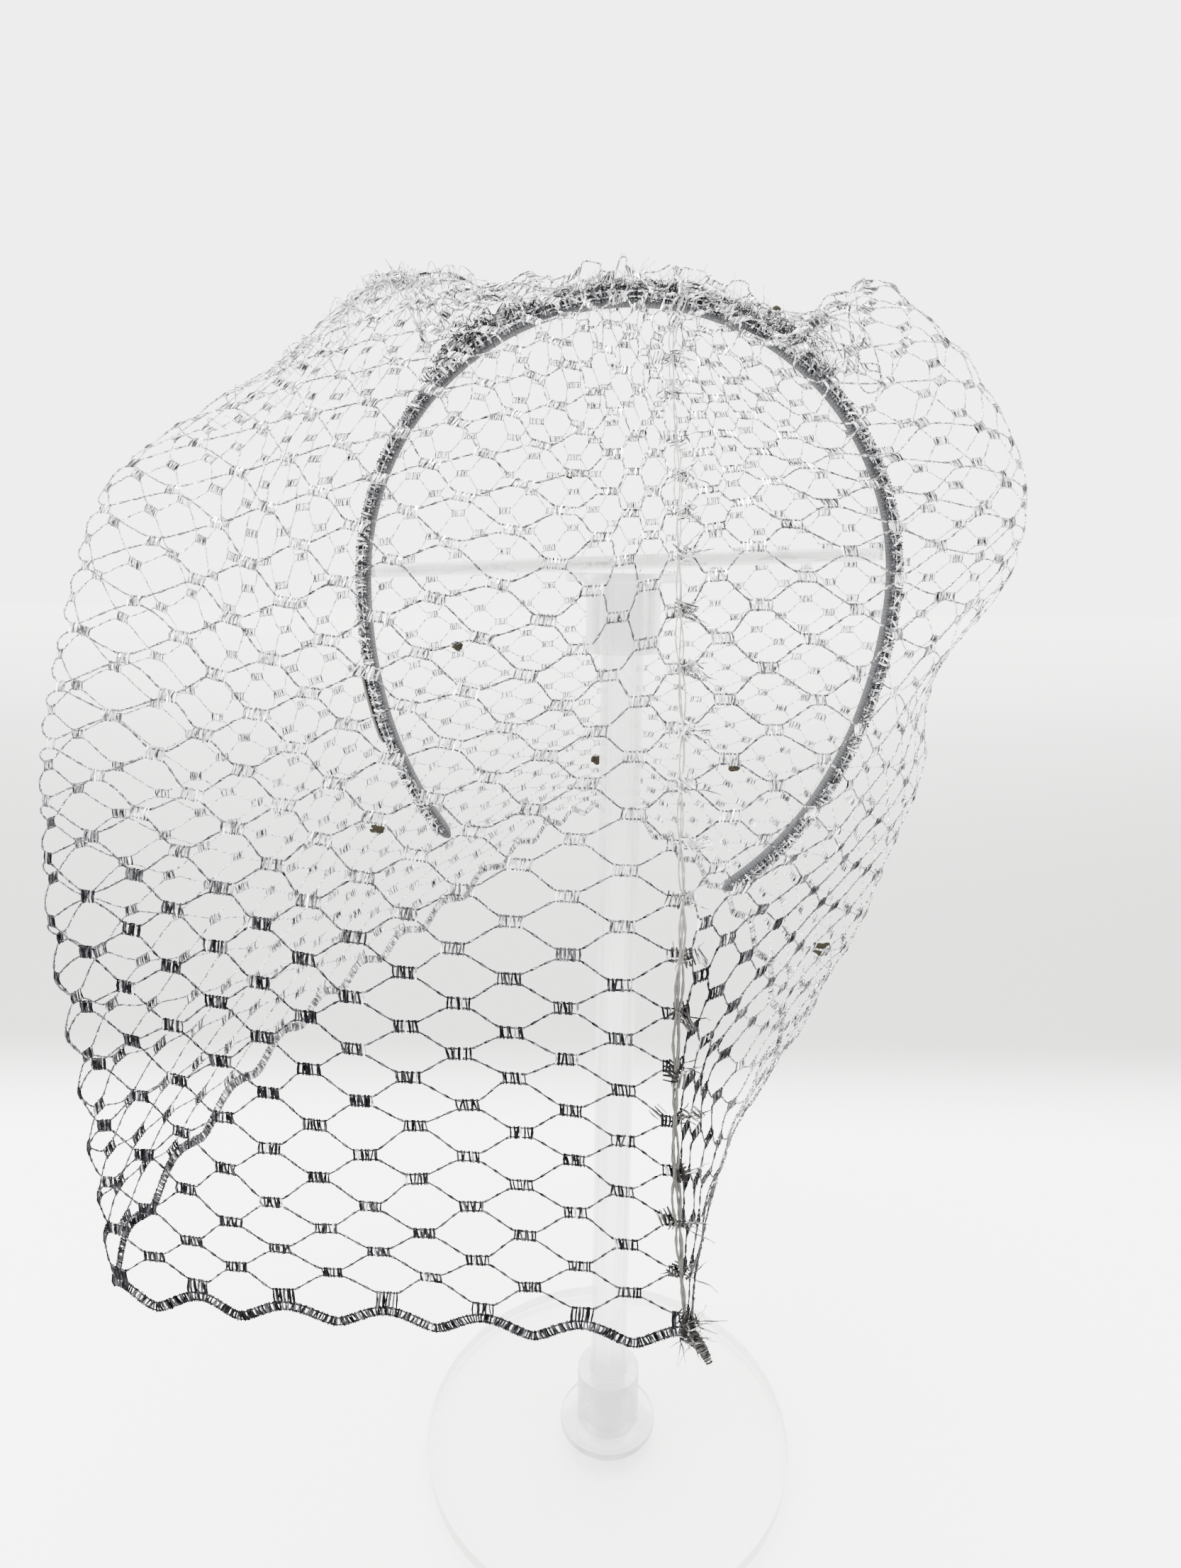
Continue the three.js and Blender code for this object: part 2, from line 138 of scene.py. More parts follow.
def grid_faces(rows, columns, closed=False):
    """Faces of a grid whose columns come round to the first, and whose rows do too where closed."""
    spans = np.arange(rows if closed else rows - 1)
    i, k = np.meshgrid(spans, np.arange(columns), indexing="ij")
    i2, k2 = (i + 1) % rows, (k + 1) % columns
    around = [i * columns + k, i * columns + k2, i2 * columns + k2, i2 * columns + k]
    return np.stack(around, axis=-1).reshape(-1, 4)


def make_piece(name, parts, finish, node=None, smooth=False, uv=None):
    """Writes a mesh object from (corners, four-cornered faces, shades) in millimetres, in the place
    of a node of the frame. uv gives each corner's place along and round, for a pattern."""
    corners, faces, shades = join(parts)
    mesh = bpy.data.meshes.new(name)
    mesh.vertices.add(len(corners))
    mesh.vertices.foreach_set("co", (corners * MM).astype(np.float32).ravel())
    mesh.loops.add(faces.size)
    mesh.loops.foreach_set("vertex_index", faces.astype(np.int32).ravel())
    mesh.polygons.add(len(faces))
    mesh.polygons.foreach_set("loop_start", np.arange(0, faces.size, 4, dtype=np.int32))
    mesh.update(calc_edges=True)
    shade = mesh.attributes.new("shade", "FLOAT", "POINT")
    shade.data.foreach_set("value", shades.astype(np.float32))
    if uv is not None:
        layer = mesh.uv_layers.new(name="along")
        layer.uv.foreach_set("vector", uv[faces.ravel()].astype(np.float32).ravel())
    if smooth:
        mesh.shade_smooth()
    else:
        mesh.shade_flat()
    mesh.materials.append(finish)
    piece = placed(name, mesh)
    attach(piece, "root")
    if node:
        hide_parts(node)
    print(f"{name}: {2 * len(faces)} triangles")
    return piece


# %% [markdown]
# ## Shader arithmetic
# A finish is a small recipe of nodes. Wrapping a socket in a class lets Python's own signs add the
# Math nodes, so a pattern reads as a formula. One method adds any other node.

# %% Shader arithmetic
class Flow:
    """A number that runs through the nodes of one finish."""

    def __init__(self, recipe, socket):
        self.recipe = recipe
        self.socket = socket

    def math(self, operation, *values):
        return self.recipe.add("ShaderNodeMath", {"operation": operation}, dict(enumerate(values)))

    def at_least(self, low):
        return self.math("MAXIMUM", self, low)

    def __add__(self, other):
        return self.math("ADD", self, other)

    def __radd__(self, other):
        return self.math("ADD", other, self)

    def __sub__(self, other):
        return self.math("SUBTRACT", self, other)

    def __rsub__(self, other):
        return self.math("SUBTRACT", other, self)

    def __mul__(self, other):
        return self.math("MULTIPLY", self, other)

    def __rmul__(self, other):
        return self.math("MULTIPLY", other, self)


class Recipe:
    """One finish: a material, or a world, whose shader is fed by the nodes added here."""

    def __init__(self, name, made=bpy.data.materials, shader="Principled BSDF", **fixed):
        self.finish = made.new(name)
        self.finish.use_nodes = True
        self.tree = self.finish.node_tree
        self.shader = self.tree.nodes[shader]
        for socket, value in fixed.items():
            self.shader.inputs[socket.replace("_", " ")].default_value = value

    def add(self, kind, settings=None, sockets=None, out=0):
        """Adds a node: first its settings, then the values or links of its sockets."""
        node = self.tree.nodes.new(kind)
        for key, value in (settings or {}).items():
            setattr(node, key, value)
        for key, value in (sockets or {}).items():
            self.feed(node.inputs[key], value)
        return Flow(self, node.outputs[out])

    def feed(self, socket, value):
        if isinstance(value, Flow):
            self.tree.links.new(value.socket, socket)
        else:
            socket.default_value = value

    def paint(self, socket, value):
        """Feeds a socket of the finish's own shader."""
        self.feed(self.shader.inputs[socket], value)

    def mixed(self, share, low, high):
        """A colour between two others, each a link or a red, green and blue."""
        low, high = [c if isinstance(c, Flow) else (*c, 1) for c in (low, high)]
        sockets = {0: share, 6: low, 7: high}
        return self.add("ShaderNodeMix", {"data_type": "RGBA"}, sockets, out=2)

    def carried(self):
        """The shade that the corners of a mesh carry."""
        return self.add("ShaderNodeAttribute", {"attribute_name": "shade"}, out=2)

    def noise(self, scale, detail=2):
        place = self.add("ShaderNodeTexCoord", out=3)
        sockets = {"Vector": place, "Scale": scale, "Detail": detail}
        return self.add("ShaderNodeTexNoise", None, sockets)

    def bump(self, height, strength, distance):
        sockets = {"Height": height, "Strength": strength, "Distance": distance}
        return self.add("ShaderNodeBump", None, sockets)


print("shader arithmetic ready")

# %% [markdown]
# ## Clear acrylic
# Acrylic plate and tube are sawn or turned and then polished, which leaves a faint haze. The
# finish is a transmitting surface whose alpha follows the shade that the corners carry: the flat
# faces are left nearly see-through and the sawn rims are not, because light that a plate bends on
# its way to the floor is slow to trace and shows as a dark shadow otherwise. Only full shade, on
# the rims, is grey: a painted shade for the darker look that bent light gives a clear edge.

# %% Clear acrylic
def clear_acrylic():
    recipe = Recipe("clear_acrylic", IOR=1.49, Transmission_Weight=0.9)
    shade = recipe.carried()
    # Painted shade: the rims, at full shade, are painted grey.
    grey = (shade * 5 - 4).at_least(0)
    haze = recipe.noise(60, detail=4)
    recipe.paint("Base Color", recipe.mixed(grey, (0.93, 0.945, 0.94), (0.4, 0.405, 0.4)))
    recipe.paint("Roughness", haze * 0.06 + 0.01)
    recipe.paint("Alpha", haze * 0.06 + shade * 0.72 + 0.1)
    return recipe.finish


ACRYLIC = clear_acrylic()
print("finish:", ACRYLIC.name)

# %% [markdown]
# ## Silver yarn
# Yarn of this kind is a narrow strip of metal foil wound round a thread. Each turn of the foil
# faces another way, so it glitters in dots. The colour runs from dark over a middle grey to white
# along the shade that the corners carry, which is painted light: painted glints of the turning
# foil and painted light and shade of the room. A fine noise breaks it up within a turn. Metal
# brightens towards its outline, which would hide so thin a yarn on a pale ground, so its tint
# there is set darker.

# %% Silver yarn
def silver_yarn(name, dark, middle, bright, metallic=0.8):
    edge_tint = (0.4, 0.4, 0.41, 1)
    recipe = Recipe(name, Metallic=metallic, Specular_IOR_Level=0.2, Specular_Tint=edge_tint)
    shade = recipe.carried()
    grain = recipe.noise(900, detail=2)
    # Painted light: the carried shade and its grain paint the glints and the room's light and
    # shade.
    level = shade + (grain - 0.5) * 0.5
    lower = recipe.mixed(level * 2, dark, middle)
    recipe.paint("Base Color", recipe.mixed(level * 2 - 1, lower, bright))
    recipe.paint("Roughness", 0.42 - shade * 0.2)
    return recipe.finish


YARN = silver_yarn("silver_net", (0.004, 0.004, 0.005), (0.1, 0.102, 0.108), (1, 1, 1))
FUZZ = silver_yarn("frayed_net", (0.008, 0.0075, 0.007), (0.075, 0.074, 0.072),
                   (0.9, 0.9, 0.92), metallic=0.5)
print("finishes:", YARN.name, "and", FUZZ.name)

# %% [markdown]
# ## Ribbon, thread and core
# Corded ribbon has fine cross ribs and a soft nap: a sine along its length gives the ribs, and
# noise gives the nap and its worn patches. Sewing thread is plain spun fibre, painted lighter
# where the light reaches it. The band's core is dark, glossy plastic under a thin coat, and the
# specks on the net are dry olive lint.

# %% Ribbon, thread and dark core
def ribbon():
    recipe = Recipe("grey_ribbon", Sheen_Weight=0.04, Specular_IOR_Level=0.2)
    place = recipe.add("ShaderNodeUVMap", {"uv_map": "along"})
    split = recipe.add("ShaderNodeSeparateXYZ", None, {0: place})
    ribs = split.math("SINE", split * 7.4)
    fuzz = recipe.noise(700, detail=3)
    patches = recipe.noise(40, detail=2)
    tone = ribs * 0.18 + fuzz * 0.7 + patches * 0.5 - 0.1
    recipe.paint("Base Color", recipe.mixed(tone, (0.004, 0.0043, 0.005), (0.055, 0.057, 0.062)))
    recipe.paint("Roughness", fuzz * 0.3 + 0.6)
    recipe.paint("Normal", recipe.bump(ribs * 0.5 + fuzz, 0.5, 0.0001))
    return recipe.finish


def sewing_thread():
    recipe = Recipe("sewing_thread", Roughness=0.6, Specular_IOR_Level=0.2)
    fibre = recipe.noise(1500, detail=2)
    shade = recipe.carried()
    # Painted light: the carried shade paints the thread paler high up.
    tone = fibre * 0.2 + shade * 0.8
    recipe.paint("Base Color", recipe.mixed(tone, (0.012, 0.0115, 0.01), (0.3, 0.29, 0.27)))
    return recipe.finish


def dark_core():
    recipe = Recipe("dark_core", Coat_Weight=0.6, Coat_Roughness=0.08)
    grain = recipe.noise(120, detail=3)
    recipe.paint("Base Color", recipe.mixed(grain, (0.002, 0.0012, 0.001), (0.012, 0.007, 0.005)))
    recipe.paint("Roughness", grain * 0.2 + 0.15)
    return recipe.finish


def olive_speck():
    recipe = Recipe("olive_speck", Roughness=0.8, Specular_IOR_Level=0.1)
    grain = recipe.noise(500, detail=3)
    recipe.paint("Base Color", recipe.mixed(grain, (0.003, 0.0026, 0.0016), (0.03, 0.026, 0.016)))
    return recipe.finish


RIBBON = ribbon()
THREAD = sewing_thread()
CORE = dark_core()
SPECK = olive_speck()
print("finishes in all:", len(bpy.data.materials))

# %% [markdown]
# ## The clear stand
# Base, two flanged sockets, a tube and a disc are all turned shapes. A profile of radius and
# height is carried round the axis, and each corner of the profile is rounded as polishing leaves
# it. A quadratic curve that starts and ends a little way from the corner does that in one line of
# arithmetic.

# %% Turned shapes
TURN_SIDES = 128
POLISH = 0.5


def rounded(outline, radius, count=4):
    """Cuts each corner P by P + (1-t)^2 r a + t^2 r b, with a and b the ways to its neighbours."""
    points = np.array(outline, dtype=float)
    before = np.roll(points, 1, axis=0) - points
    after = np.roll(points, -1, axis=0) - points
    before_long, after_long = [np.linalg.norm(way, axis=1)[:, None] for way in (before, after)]
    reach = np.minimum(radius, 0.45 * np.minimum(before_long, after_long))
    reach = reach * (points[:, :1] > 0.01)
    t = np.linspace(0, 1, count + 1)[None, :, None]
    near = (1 - t) ** 2 * (reach * before / before_long)[:, None]
    far = t ** 2 * (reach * after / after_long)[:, None]
    return (points[:, None] + near + far).reshape(-1, 2)


def turned(outline, walls=1.0, flats=0.1):
    """Carries a closed outline round the post: corner (a, k) is (r_k cos a, r_k sin a, h_k). The
    shade of a corner is flats on a level face and walls on an upright one."""
    profile = rounded(outline, POLISH)
    run = np.roll(profile, -1, axis=0) - np.roll(profile, 1, axis=0)
    upright = np.abs(run[:, 1]) / np.maximum(np.linalg.norm(run, axis=1), 1e-9)
    angles = np.linspace(0, 2 * np.pi, TURN_SIDES, endpoint=False)
    ring = np.stack([np.cos(angles), np.sin(angles)], axis=-1)[:, None] * profile[None, :, :1]
    height = np.broadcast_to(profile[None, :, 1:], (TURN_SIDES, len(profile), 1))
    corners = np.concatenate([ring, height], axis=-1).reshape(-1, 3)
    faces = grid_faces(TURN_SIDES, len(profile), closed=True)[:, [0, 3, 2, 1]]
    return corners, faces, np.tile(flats + (walls - flats) * upright, TURN_SIDES)


def tidy(piece):
    """Merges the corners that meet on the axis and turns every face outwards."""
    mesh = bmesh.new()
    mesh.from_mesh(piece.data)
    bmesh.ops.remove_doubles(mesh, verts=mesh.verts, dist=1e-7)
    bmesh.ops.dissolve_degenerate(mesh, dist=1e-7, edges=mesh.edges)
    bmesh.ops.recalc_face_normals(mesh, faces=mesh.faces)
    mesh.to_mesh(piece.data)
    mesh.free()


print("turned shapes:", TURN_SIDES, "sides")

# %% [markdown]
# ## Pieces of the stand
# The tube is pushed into a flanged socket at either end, and the upper socket carries the disc,
# which leans a little. Radii and heights are read off the solids, so each clear piece takes its
# place.

# %% Pieces of the stand
_, base_high = extent("stand_base")
post_low, post_high = extent("post")
foot_low, foot_high = extent("foot_fitting")
head_low, head_high = extent("top_fitting")
disc_low, disc_high = extent("top_disc")
BASE_RADIUS, BASE_THICK = base_high[0], base_high[2]
POST_RADIUS, POST_WALL = post_high[0], 2
FLANGE_RADIUS, FLANGE_THICK = foot_high[0], 2.4
SOCKET_RADIUS, SOCKET_GAP = 10, 0.3
DISC_RADIUS, DISC_THICK, DISC_LEVEL = 65.5, 3, (disc_low[2] + disc_high[2]) / 2
DISC_LEAN = np.radians(2.6)


def flanged(start, end):
    """A socket round the post, with its flange at the start."""
    way = np.sign(end - start)
    bore, flange = POST_RADIUS + SOCKET_GAP, start + way * FLANGE_THICK
    return [[bore, start], [FLANGE_RADIUS, start], [FLANGE_RADIUS, flange],
            [SOCKET_RADIUS, flange], [SOCKET_RADIUS, end], [bore, end]]


def tube(radius, wall, start, end):
    return [[radius - wall, start], [radius, start], [radius, end], [radius - wall, end]]


def plate(radius, thick):
    return [[0, 0], [radius, 0], [radius, thick], [0, thick]]


def leaning(part):
    """Turns the disc about the y axis and lifts it to its level."""
    corners, faces, shades = part
    x, y, z = corners[:, 0], corners[:, 1], corners[:, 2] - DISC_THICK / 2
    cos, sin = np.cos(DISC_LEAN), np.sin(DISC_LEAN)
    return np.stack([x * cos - z * sin, y, x * sin + z * cos + DISC_LEVEL], axis=1), faces, shades


CLEAR_PIECES = {
    "clear_base": ("stand_base", turned(plate(BASE_RADIUS, BASE_THICK))),
    "clear_foot_socket": ("foot_fitting", turned(flanged(foot_low[2], foot_high[2]), 0.88, 0.8)),
    "clear_post": ("post", turned(tube(POST_RADIUS, POST_WALL, post_low[2], post_high[2]),
                                  0.62, 0.95)),
    "clear_top_socket": ("top_fitting", turned(flanged(head_high[2], head_low[2]), 0.88, 0.8)),
    "clear_disc": ("top_disc", leaning(turned(plate(DISC_RADIUS, DISC_THICK)))),
}
for piece_name, (node_name, part) in CLEAR_PIECES.items():
    clear_piece = make_piece(piece_name, [part], ACRYLIC, node_name, smooth=True)
    tidy(clear_piece)
    clear_piece.data.set_sharp_from_angle(angle=np.radians(40))

# %% [markdown]
# ## Yarns
# A yarn is a thin tube along a path. Most of the piece is yarn, some hundred thousand short
# stretches, so each has only four sides, in a lozenge that turns as it goes along, as a twisted
# foil does. The frame along the path comes from its tangent and a way that points out of the
# cloth, so no yarn needs a frame of its own to be carried along.

# %% Yarn helper
rng = np.random.default_rng(376)


def unit(vectors):
    return vectors / np.maximum(np.linalg.norm(vectors, axis=-1, keepdims=True), 1e-9)


def yarn(paths, outward, thick, thin, turns, shades, sides=4):
    """Tubes along many paths at once. paths and outward are (m, n, 3), thick, thin and turns
    broadcast to (m, n). Corner k of a ring is at r_k (out cos(a_k + turn) + side sin(...))."""
    m, n = paths.shape[:2]
    along = unit(np.gradient(paths, axis=1))
    side = unit(np.cross(along, outward))
    out = np.cross(side, along)
    angles = 2 * np.pi * np.arange(sides) / sides
    radii = [np.broadcast_to(thin if k % 2 else thick, (m, n)) for k in range(sides)]
    radii = np.stack(radii, axis=-1)
    turned_by = angles + np.broadcast_to(turns, (m, n))[..., None]
    corners = (paths[:, :, None] + (radii * np.cos(turned_by))[..., None] * out[:, :, None]
               + (radii * np.sin(turned_by))[..., None] * side[:, :, None])
    first = (np.arange(m) * n * sides)[:, None]
    last = first + (n - 1) * sides
    walls = (first[..., None] + grid_faces(n, sides)).reshape(-1, 4)
    caps = np.concatenate([first + [3, 2, 1, 0], last + [0, 1, 2, 3]])
    if np.ndim(shades) < 3:
        shades = np.broadcast_to(shades, (m, n))[..., None]
    shades = np.broadcast_to(shades, (m, n, sides)).reshape(-1)
    return corners.reshape(-1, 3), np.concatenate([walls, caps]), shades


def ribs(tops, bottoms, outward, radius, tone, bulge=0.12):
    """Short yarns from tops to bottoms, (m, 3) each, that stand proud of the cloth halfway."""
    m = len(tops)
    middle = (tops + bottoms) / 2 + outward * bulge + rng.normal(0, 0.09, (m, 3))
    past = unit(tops - bottoms) * radius * 1.2
    paths = np.stack([tops + past, middle, bottoms - past], axis=1)
    out = np.repeat(outward[:, None], 3, axis=1)
    # Painted glints: each corner's shade is scattered about the rib's tone, the more the brighter
    # it is.
    spread = (0.1 + 0.34 * np.clip(tone, 0, 1))[:, None, None]
    shades = tone[:, None, None] + rng.normal(0, 1, (m, 3, 4)) * spread
    size = radius * rng.uniform(0.85, 1.2, (m, 1)) * np.array([0.8, 1.1, 0.8])
    return yarn(paths, out, size, size * 0.8, rng.uniform(0, 1.5, (m, 1)), shades)


def painted_glints(tone):
    """Painted glints of twisted foil yarns: bright and dark turns in a steady beat with some
    chance.
    """
    m, n = tone.shape
    beat = np.sin(2 * np.pi * (np.arange(n)[None, :, None] / 2.7 + np.arange(4)[None, None] / 4))
    return tone[..., None] + 0.3 * beat + rng.normal(0, 0.16, (m, n, 4))


print("yarn helper ready")

# %% [markdown]
# ## The headband's line
# The band is half an ellipse above the disc and a longer half below it, in one upright plane. Its
# middle line is a formula of one angle, and ribbon, selvedge and gathers are all carried along it.

# %% Headband line
BAND_WIDE = 6
BAND_THICK = 3
BAND_AHEAD = 9
BAND_SHIFT = 0.9
BAND_RISE = 68
BAND_TAIL = 91
BAND_DROP = 6.2
BAND_TURN = np.radians(3.5)
LEFT_TIP = np.radians(-140.5)
RIGHT_TIP = np.radians(151)
BAND_GAP = 0.3
DISC_MIDDLE = 282
disc_reach = np.sqrt(DISC_RADIUS ** 2 - (BAND_AHEAD - BAND_WIDE / 2) ** 2)
band_half = disc_reach + BAND_GAP + BAND_THICK / 2 + BAND_SHIFT
AHEAD = np.array([0, -1.0, 0])


def band_frame(angle):
    """Point and outward way at an angle from the crest: (w sin a, h cos a), turned by the lean."""
    angle = np.asarray(angle, dtype=float)
    height = np.where(np.abs(angle) < np.pi / 2, BAND_RISE, BAND_TAIL)
    flat = np.stack([band_half * np.sin(angle), height * np.cos(angle)], axis=-1)
    out = unit(np.stack([np.sin(angle) / band_half, np.cos(angle) / height], axis=-1))
    cos, sin = np.cos(BAND_TURN), np.sin(BAND_TURN)
    lean = np.array([[cos, -sin], [sin, cos]])
    flat, out = flat @ lean, out @ lean
    point = np.stack([flat[..., 0] + BAND_SHIFT, np.full(angle.shape, -BAND_AHEAD),
                      flat[..., 1] + DISC_MIDDLE - BAND_DROP], axis=-1)
    return point, np.stack([out[..., 0], np.zeros(angle.shape), out[..., 1]], axis=-1)


def run_of(path):
    """How far along a path each of its points lies."""
    return np.concatenate([[0], np.cumsum(np.linalg.norm(np.diff(path, axis=0), axis=1))])


def even_angles(start, end, spacing):
    """Angles whose points lie evenly along the band, spacing millimetres apart."""
    fine = np.linspace(start, end, 4000)
    run = run_of(band_frame(fine)[0])
    count = int(run[-1] / spacing)
    return np.interp(np.linspace(0, run[-1], count + 1), run, fine), run[-1]


band_angles, band_long = even_angles(LEFT_TIP, RIGHT_TIP, 0.3)
print("headband: middle line", round(band_long), "mm long")

# %% [markdown]
# ## Ribbon on the headband
# The ribbon is a corded one, wound flat over the band. Its section is an oval with squarish
# corners, and its fine cross cords are real ridges: every second ring of the sweep is a little
# larger. Loose hairs along both edges soften its outline, as they do on any cut ribbon.

# %% Headband ribbon
SECTION_SIDES = 16
CORNERS_SQUARE = 0.6
RIDGE = 0.05
TIP_LONG = 4.5


def band_sweep(angles, out_by, ahead_by, wide, high, grow):
    """A closed sleeve along the band with a superellipse section, x = |cos|^q and z = |sin|^q."""
    point, out = band_frame(angles)
    turn = np.linspace(0, 2 * np.pi, SECTION_SIDES, endpoint=False)
    square = [np.sign(f(turn)) * np.abs(f(turn)) ** CORNERS_SQUARE for f in (np.cos, np.sin)]
    forwards = ahead_by + wide / 2 * grow[:, None] * square[0][None]
    outwards = out_by + high / 2 * grow[:, None] * square[1][None]
    return point[:, None] + outwards[..., None] * out[:, None] + forwards[..., None] * AHEAD


def sleeve(corners, shades=0.5):
    """Faces of a tube whose rings are (n, sides, 3), with its ends drawn together to a point."""
    n, sides = corners.shape[:2]
    ends = [np.repeat(corners[i].mean(axis=0)[None, None], sides, axis=1) for i in (0, -1)]
    rings = np.concatenate([ends[0], corners, ends[1]])
    return rings.reshape(-1, 3), grid_faces(n + 2, sides), np.full(len(rings) * sides, shades)


run = np.linspace(0, band_long, len(band_angles))
from_tip = np.minimum(run, band_long - run) / TIP_LONG
tip_shape = np.sqrt(np.clip(from_tip * (2 - from_tip), 0.05, 1)) * (from_tip < 1) + (from_tip >= 1)
ridged = tip_shape * (1 + RIDGE * (np.arange(len(run)) % 2) / 2)
ribbon_part = sleeve(band_sweep(band_angles, 0, 0, BAND_WIDE, BAND_THICK, ridged))
ribbon_uv = np.stack([np.repeat(np.concatenate([[0], run, [band_long]]), SECTION_SIDES),
                      np.tile(np.arange(SECTION_SIDES) / SECTION_SIDES, len(run) + 2)], axis=1)
band_piece = make_piece("ribbon_headband", [ribbon_part], RIBBON, "headband",
                        smooth=True, uv=ribbon_uv)
tidy(band_piece)

# %% [markdown]
# ## Ribbon hairs
# Cut and rubbed ribbon sheds fine hairs along its edges. Each is a three-point yarn with its root
# on an edge and its tip a little way off, so thousands of them cost little and still break up the
# outline.

# %% Ribbon hairs
HAIRS = 2600
hair_angle = rng.uniform(LEFT_TIP * 0.99, RIGHT_TIP * 0.99, HAIRS)
hair_point, hair_out = band_frame(hair_angle)
hair_side = rng.choice([-1, 1], HAIRS)[:, None]
hair_edge = rng.choice([-1, 1], HAIRS, p=[0.7, 0.3])[:, None]
hair_root = (hair_point + AHEAD * hair_side * BAND_WIDE * 0.44
             + hair_out * hair_edge * BAND_THICK * 0.42)
hair_way = unit(AHEAD * hair_side * 0.6 + hair_out * hair_edge + rng.normal(0, 0.5, (HAIRS, 3)))
hair_long = rng.uniform(0.3, 1.1, (HAIRS, 1))
hair_mid = hair_root + hair_way * hair_long * 0.6 + rng.normal(0, 0.07, (HAIRS, 3))
hair_tip = hair_root + hair_way * hair_long + rng.normal(0, 0.22, (HAIRS, 3))
hair_paths = np.stack([hair_root, hair_mid, hair_tip], axis=1)
hair_part = yarn(hair_paths, np.repeat(np.cross(hair_way, AHEAD + 0.3)[:, None], 3, axis=1),
                 0.035, 0.035, 0, rng.uniform(0.2, 0.6, (HAIRS, 1)))
hair_uv = np.zeros((len(hair_part[0]), 2))
make_piece("ribbon_hairs", [hair_part], RIBBON, uv=hair_uv)

# %% [markdown]
# ## The net's overcast edge
# Netting of this kind is knitted with a firm edge: two rails with cross ribs packed close between
# them, like a ladder. The same edge makes the veil's hem and the bright trim sewn along the
# headband's front, so one function lays such a ladder along any line.

# %% Ladder helper
LOOSE = np.array([0.31, 0.52, 0.79])


def smooth_step(low, high, value):
    t = np.clip((value - low) / (high - low), 0, 1)
    return t * t * (3 - 2 * t)


def pick(rows, run, where):
    """Rows of an array, read off at places along its run."""
    return np.stack([np.interp(where, run, rows[:, i]) for i in range(3)], axis=1)


def ladder(path, across, outward, wide, spacing, rail, rib, tone, uneven=0.25):
    """Rails at path +- across wide / 2, and a rib between them every spacing millimetres. rail and
    rib are radii, and uneven is how far the ribs slip, as a share of the spacing."""
    run = run_of(path)
    where = np.arange(spacing / 2, run[-1], spacing)
    where = where + rng.normal(0, uneven * spacing * 0.4, len(where))
    middle, way, out = pick(path, run, where), pick(across, run, where), pick(outward, run, where)
    tops = middle + way * wide / 2 * rng.uniform(0.9, 1.12, (len(where), 1))
    slip = np.cross(way, out) * rng.normal(0, uneven * spacing, (len(where), 1))
    bottoms = middle - way * wide / 2 * rng.uniform(0.9, 1.12, (len(where), 1)) + slip
    count = int(run[-1] / 0.5)
    even = np.linspace(0, run[-1], count)
    steady, over, front = pick(path, run, even), pick(across, run, even), pick(outward, run, even)
    rails = np.stack([steady + over * wide / 2, steady - over * wide / 2])
    tones = np.broadcast_to(tone, run.shape)
    rail_tone = np.stack([np.interp(even, run, tones)] * 2)
    turns = np.arange(count)[None] * np.pi / 4
    shades = painted_glints(rail_tone)
    rail_part = yarn(rails, np.stack([front] * 2), rail, rail * 0.65, turns, shades)
    rib_tone = np.interp(where, run, tones) + rng.normal(0, 0.12, len(where))
    return [rail_part, ribs(tops, bottoms, out, rib, rib_tone)]


print("ladder helper ready")

# %% [markdown]
# ## Trim and core of the headband
# The veil's firm edge is sewn along the band's front face from tip to tip, so it is a ladder whose
# ribs run across the face. Behind the lower left of the band a stretch of its dark, glossy core
# shows.

# %% Band trim and core
SELVEDGE_OUT = 0.1
SELVEDGE_AHEAD = BAND_WIDE / 2 + 0.55
SELVEDGE_WIDE = 2.0
CORE_FROM = np.radians(-119)
CORE_TO = np.radians(-106)
CORE_THICK = 1.5
CORE_WIDE = 5

trim_angles = even_angles(LEFT_TIP * 0.985, RIGHT_TIP * 0.985, 0.5)[0]
trim_point, trim_out = band_frame(trim_angles)
trim_path = trim_point + trim_out * SELVEDGE_OUT + AHEAD * SELVEDGE_AHEAD
trim_front = np.broadcast_to(AHEAD, trim_path.shape)
first_row = ladder(trim_path, trim_out, trim_front, wide=SELVEDGE_WIDE, spacing=0.78,
                   rail=0.24, rib=0.34, tone=0.4, uneven=0.4)
second_row = ladder(trim_path + trim_out * 0.2 + AHEAD * 0.25, trim_out, trim_front, wide=1.2,
                    spacing=1.9, rail=0.22, rib=0.36, tone=0.66, uneven=0.5)
trim_piece = make_piece("band_selvedge_net", first_row + second_row, YARN, node="band_selvedge")

core_angles = np.linspace(CORE_FROM, CORE_TO, 40)
core_size = np.sqrt(np.clip(np.sin(np.linspace(0.12, np.pi - 0.12, 40)) * 2.5, 0, 1))
core_ring = band_sweep(core_angles, (BAND_THICK + CORE_THICK) / 2 + BAND_GAP,
                       (CORE_WIDE - BAND_WIDE) / 2, CORE_WIDE, CORE_THICK, core_size)
core_piece = make_piece("band_core_strip", [sleeve(core_ring)], CORE, "band_core",
                        smooth=True)
tidy(core_piece)

# %% [markdown]
# ## The veil's surface
# The cloth is a surface of two numbers: round, the share of the netting's length from the seam,
# and down, the share of its width below the sewn edge. A dozen meridians from the sewn edge to the
# hem carry it: each is a smooth curve down through its points, and a smooth curve through those
# twelve results goes round. The places are shares of the veil's reach and of the netting's width.

# %% Meridians
VEIL_REACH = 100
NET_WIDTH = 235
SEWN_ANGLE = np.radians(42)
SEWN_OUT = BAND_THICK / 2 + 5.2
SEWN_AHEAD = 4.6
SEAM_HALF = 0.4
LEVELS = np.array([0, 0.09, 0.21, 0.35, 0.5, 0.66, 0.83, 1])

